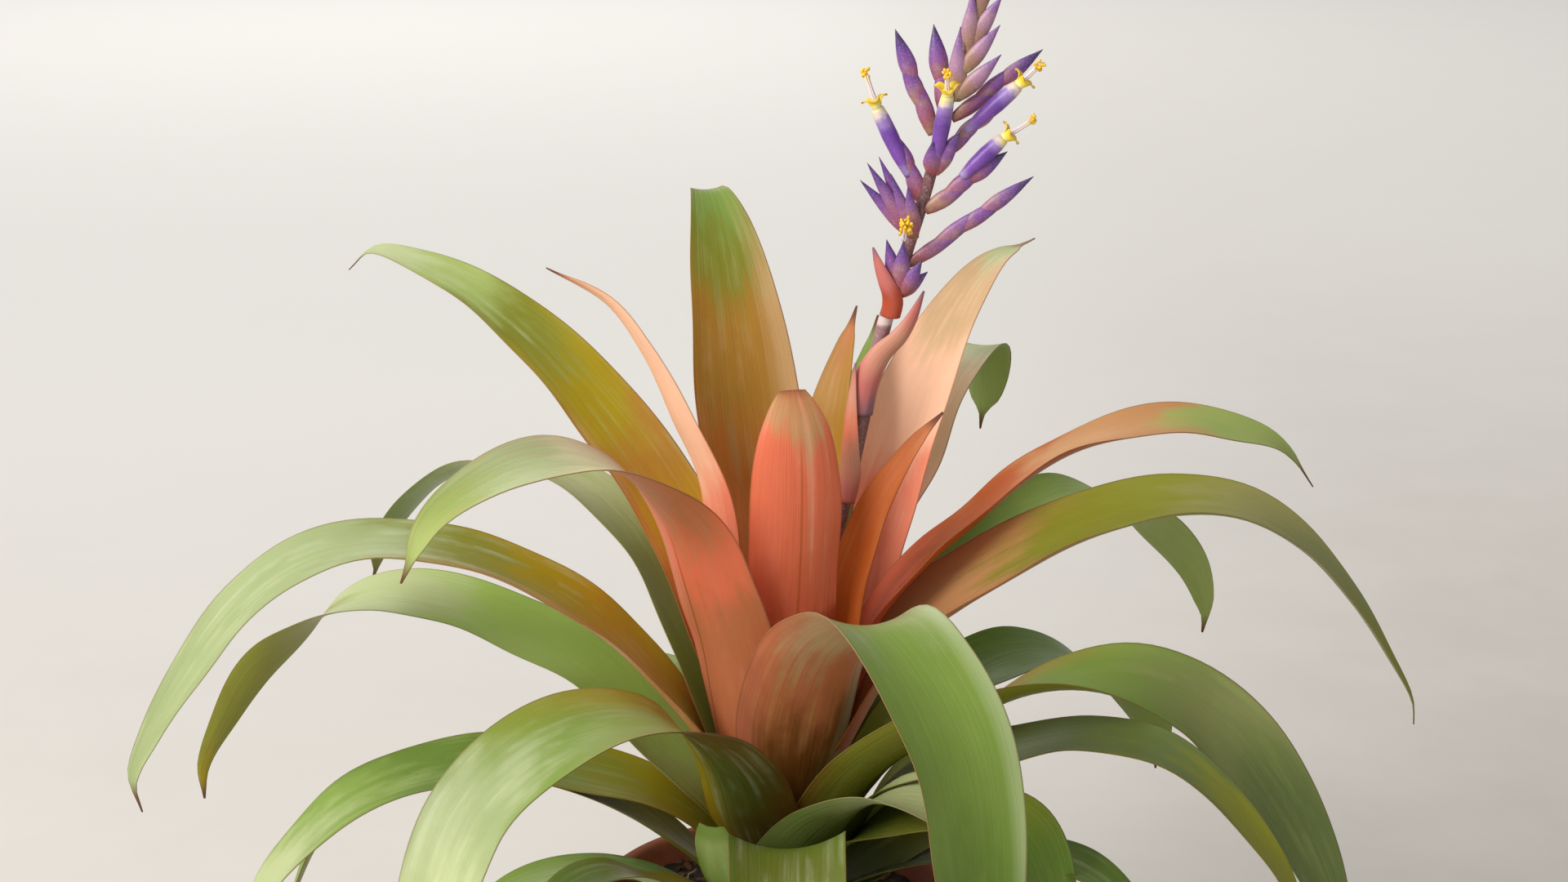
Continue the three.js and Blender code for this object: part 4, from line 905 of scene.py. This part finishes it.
def spike_skin(name, stops, scurf_amount, tan_amount=0.0):
    """Waxy skin: colours from foot to tip, dry tan patches low down, and a fine pale scurf."""
    made, tree, shader = finish(name, 0.42, Coat_Weight=0.2, Coat_Roughness=0.3)
    along = noted(tree, "along")
    where = on_object(tree)
    drift = worked("MULTIPLY_ADD", cloudy(where, 130.0), 0.3, -0.15)
    total = worked("ADD", worked("ADD", along, drift), noted(tree, "tone"))
    colour = ramp(total, [(place, pigment(code)) for place, code in stops])
    patch = times(between(cloudy(where, 80.0, 2.0), 0.46, 0.66, 0.0, tan_amount),
                  between(along, 0.3, 0.75, 1.0, 0.0))
    colour = painted(patch, colour, pigment("#b0986a"))
    scurf = between(cloudy(where, 900.0, 4.0, 0.7), 0.45, 0.8, 0.0, scurf_amount)
    feed(shader, "Base Color", painted(scurf, colour, pigment("#e6d8dc")))
    raised(shader, cloudy(where, 600.0), 0.25, 0.0004)
    return made


violet_bract = spike_skin("violet_bract", [(0, "#964048"), (0.18, "#a25362"), (0.38, "#9a5a82"),
                                           (0.58, "#824a98"), (0.82, "#60368c"), (1, "#432a66")], 0.25, 0.5)
mauve_bract = spike_skin("mauve_bract", [(0, "#94744c"), (0.25, "#a27668"), (0.5, "#a97c9e"),
                                         (0.8, "#84599a"), (1, "#54386e")], 0.35, 0.5)
flower_tube = spike_skin("flower_tube", [(0, "#a58cc4"), (0.25, "#7d46ac"), (0.62, "#6a38a0"),
                                         (0.84, "#9678c0"), (0.94, "#dccdc4"), (1, "#f0e07c")], 0.1)

tint = random.Random(7)


def spike_bodies(spike):
    """Each bract of a spike, and its flower tube: rings, shares of the length, tone and skin."""
    for root, tip, count, wide in spike["bracts"]:
        for start, end, tone in overlapping(root, tip, count, wide):
            rings, t = spindle(start, end, wide, BRACT_SWELL, BRACT_KEEL, BRACT_FLAT)
            yield rings, t, tone + tint.uniform(-0.05, 0.05), 0
    if "tube" in spike:
        start, mouth, wide = spike["tube"]
        yield *spindle(raised_up(start), raised_up(mouth), wide, TUBE_SWELL, 0.0, TUBE_FLAT), 0.0, 1


def grown(name, bodies, skins):
    """One piece of many closed bodies. Each has the share of its length, a tone and one of the skins."""
    points, faces, shares, tones, kinds = [], [], [], [], []
    for rings, share, tone, kind in bodies:
        add_body(points, faces, np.array(rings) * MM)
        shares += list(np.repeat(share, len(rings[0])))
        tones += [tone] * (len(points) - len(tones))
        kinds += [kind] * (len(faces) - len(kinds))
    piece = solid_piece(name, points, faces, skins[0])
    for skin in skins[1:]:
        piece.data.materials.append(skin)
    piece.data.polygons.foreach_set("material_index", kinds)
    note(piece, "along", shares)
    note(piece, "tone", tones)
    return piece


for spike in SPIKES:
    skins = [mauve_bract if spike["name"] == "top" else violet_bract]
    if "tube" in spike:
        skins.append(flower_tube)
    piece = grown("flower_spike_" + spike["name"], spike_bodies(spike), skins)
    stands_for(piece, "spike", "spike_" + spike["name"])

# Open flowers
# At the mouth of each tube three broad petals bend back, bright yellow. Six pale threads reach beyond it and
# carry the pollen sacs in one ragged bunch. The lowest flower is over: its petals have withered away.
# mouth and bunch: (x, y, height). petal: how far a petal reaches out, 0 where it has withered.
BLOOMS = [
    dict(name="left", mouth=(60, 0, 524), bunch=(53, 0, 544), petal=8.5, sacs=12, spread=2.5),
    dict(name="front", mouth=(100, -20, 534), bunch=(99, -24, 547), petal=8.5, sacs=12, spread=2.4),
    dict(name="right_upper", mouth=(142, -6, 538), bunch=(154, -7, 550), petal=8.5, sacs=12, spread=2.5),
    dict(name="right_lower", mouth=(134, -6, 507), bunch=(151, -7, 518), petal=8.5, sacs=12, spread=2.5),
    dict(name="lowest", mouth=(76, -13, 447), bunch=(77, -16, 456), petal=0, sacs=36, spread=4.4),
]
PETALS = 3
PETAL_ROWS = 18
PETAL_WIDE = 7.2
PETAL_THICK = 0.6
PETAL_EDGE = 0.35
PETAL_CUP = 1.3
THROAT = [(0, 3.0), (1.5, 3.2), (3, 3.5), (4, 3.3)]
THREADS = 6
THREAD_RADIUS = 0.45
THREAD_SPREAD = [(0.05, 1.3), (0.4, 1.1), (0.8, 1.0), (0.97, 1.3)]
SAC_LENGTH = 2.8
SAC_SWELL = [0.3, 0.75, 1.0, 1.05, 1.0, 0.7, 0.2]

petal_yellow = spike_skin("petal_yellow", [(0, "#f3ecb4"), (0.25, "#f5dc40"), (0.7, "#efc81a"),
                                           (1, "#dcb41c")], 0.05)
thread_white = spike_skin("thread_white", [(0, "#e9d9e8"), (0.6, "#efe2e4"), (1, "#f0dca0")], 0.05)
sac_yellow = spike_skin("sac_yellow", [(0, "#dc9c10"), (0.5, "#f4be18"), (1, "#f8d634")], 0.12)


def petal_rings(start, axis, out, reach):
    """Rings of one broad petal that leaves the mouth, flares out and curls its end down."""
    bend, _ = smooth_line([start + axis * 0.8 + out * 2.6, start + axis * 4.2 + out * reach * 0.45,
                           start + axis * 5.6 + out * reach * 0.75, start + axis * 4.9 + out * reach],
                          PETAL_ROWS)
    t = np.linspace(0, 1, PETAL_ROWS + 1)
    width = PETAL_WIDE * np.sqrt((1 - ((t - 0.5) / 0.54) ** 2).clip(0.06, 1))
    grid, across = channelled(bend, np.cross(axis, out), width, PETAL_CUP, 0, 8)
    rings, _, _ = ring_round(grid, across, PETAL_THICK, PETAL_EDGE)
    return rings, t


def bloom_bodies(bloom):
    """Each part of one flower: rings, shares of the length, tone and skin."""
    start, end = raised_up(bloom["mouth"]), raised_up(bloom["bunch"])
    axis = unit(end - start)
    side, depth = crosswise(axis)
    length = np.linalg.norm(end - start)

    def outward(turn):
        return side * math.cos(turn) + depth * math.sin(turn)

    if bloom["petal"]:
        throat = tube([start + axis * d for d, _ in THROAT], [r for _, r in THROAT], 16)
        yield throat, [0, 0.1, 0.2, 0.3], 0.0, 0
        for k in range(PETALS):
            out = outward(2 * math.pi * k / PETALS + 0.5)
            yield *petal_rings(start, axis, out, bloom["petal"]), 0.0, 0
    for k in range(THREADS):
        out = outward(2 * math.pi * k / THREADS)
        line, _ = smooth_line([start + axis * d * length + out * r for d, r in THREAD_SPREAD], 8)
        yield tube(line, [THREAD_RADIUS] * len(line), 6), np.linspace(0, 1, len(line)), 0.0, 1
    for k in range(bloom["sacs"]):
        turn, away = scatter.uniform(0, 2 * math.pi), bloom["spread"] * scatter.uniform(0.2, 1.0)
        out = outward(turn)
        middle = end + out * away + axis * scatter.uniform(-1.0, 1.0) * bloom["spread"]
        along = unit(axis * scatter.uniform(0.2, 1.0) + out * scatter.uniform(-0.3, 0.9))
        share = np.linspace(0, 1, len(SAC_SWELL))
        yield tube([middle + along * SAC_LENGTH * (d - 0.5) for d in share], SAC_SWELL, 8), share, 0.0, 2


scatter = random.Random(11)
for bloom in BLOOMS:
    skins = [petal_yellow, thread_white, sac_yellow]
    piece = grown("open_flower_" + bloom["name"], bloom_bodies(bloom), skins)
    stands_for(piece, "flower", "bloom_" + bloom["name"])

# Floor, light and camera
# A pale floor that runs far back, with painted shade that makes it greyer near the plant and darker to the
# right, one large soft light from the upper left, a second one that washes the floor far behind, and a camera
# that looks at the plant from the front and 16 degrees above.
# Sizes here are in metres.
FLOOR_REACH = 14.0
CAMERA_DISTANCE = 1.5
CAMERA_TILT = 16
CAMERA_LENS = 56.25
CAMERA_SENSOR = 36.0
LOOK_AT = Vector((0.005, 0.0, 0.520))
DIM_SIDE, BRIGHT_SIDE = 0.36, 0.95


def soft_light(name, place, aim, size, power, colour):
    lamp = bpy.data.lights.new(name, "AREA")
    lamp.shape = "DISK"
    lamp.size = size
    lamp.energy = power
    lamp.color = colour
    light = bpy.data.objects.new(name, lamp)
    light.location = place
    light.rotation_euler = (Vector(aim) - Vector(place)).to_track_quat("-Z", "Y").to_euler()
    bpy.context.scene.collection.objects.link(light)


paper, tree, shader = finish("pale_floor", 0.9)
where = on_object(tree)
right, back, _ = axes(where)
fibre = between(cloudy(where, 6.0, 4.0), 0.2, 0.8, 0.0, 0.2)
# Painted shade: the floor is greyer near the plant and darker to the right, most of all near it.
pale = painted(between(back, 0.2, 2.2), pigment("#d9d5cf"), pigment("#f2f0ed"))
painted_shade_right = times(between(right, 0.0, 0.9, 0.0, 0.6), between(back, 0.6, 3.5, 1.0, 0.25))
pale = painted(painted_shade_right, pale, pigment("#bdb7af"))
feed(shader, "Base Color", painted(fibre, pale, pigment("#f0eeea")))
corners = [(x * FLOOR_REACH, y * FLOOR_REACH, 0) for x, y in ((-1, -1), (1, -1), (1, 1), (-1, 1))]
floor = solid_piece("floor", corners, [(0, 1, 2, 3)], paper, smooth=False)

world = bpy.data.worlds.new("studio")
bpy.context.scene.world = world
world.use_nodes = True
room = world.node_tree
side_of_room = axes(put(room, "TexCoord").outputs["Generated"])["X"]
glow = between(side_of_room, -1.0, 1.0, BRIGHT_SIDE, DIM_SIDE)
room.nodes["Background"].inputs["Color"].default_value = (1.0, 0.98, 0.95, 1)
room.links.new(glow, room.nodes["Background"].inputs["Strength"])
soft_light("key", (-1.7, -1.5, 2.0), (0.0, 0.0, 0.42), 1.5, 58.0, (1.0, 0.96, 0.91))
soft_light("floor_wash", (-1.5, 7.0, 5.0), (-1.5, 7.0, 0.0), 3.0, 112.0, (1.0, 0.98, 0.96))
bpy.context.scene.view_settings.view_transform = "Standard"

lens = bpy.data.cameras.new("camera")
lens.lens = CAMERA_LENS
lens.sensor_width = CAMERA_SENSOR
camera = bpy.data.objects.new("camera", lens)
tilt = math.radians(CAMERA_TILT)
camera.location = LOOK_AT + Vector((0, -math.cos(tilt), math.sin(tilt))) * CAMERA_DISTANCE
camera.rotation_euler = (math.pi / 2 - tilt, 0, 0)
bpy.context.scene.collection.objects.link(camera)
bpy.context.scene.camera = camera

bpy.context.view_layer.update()
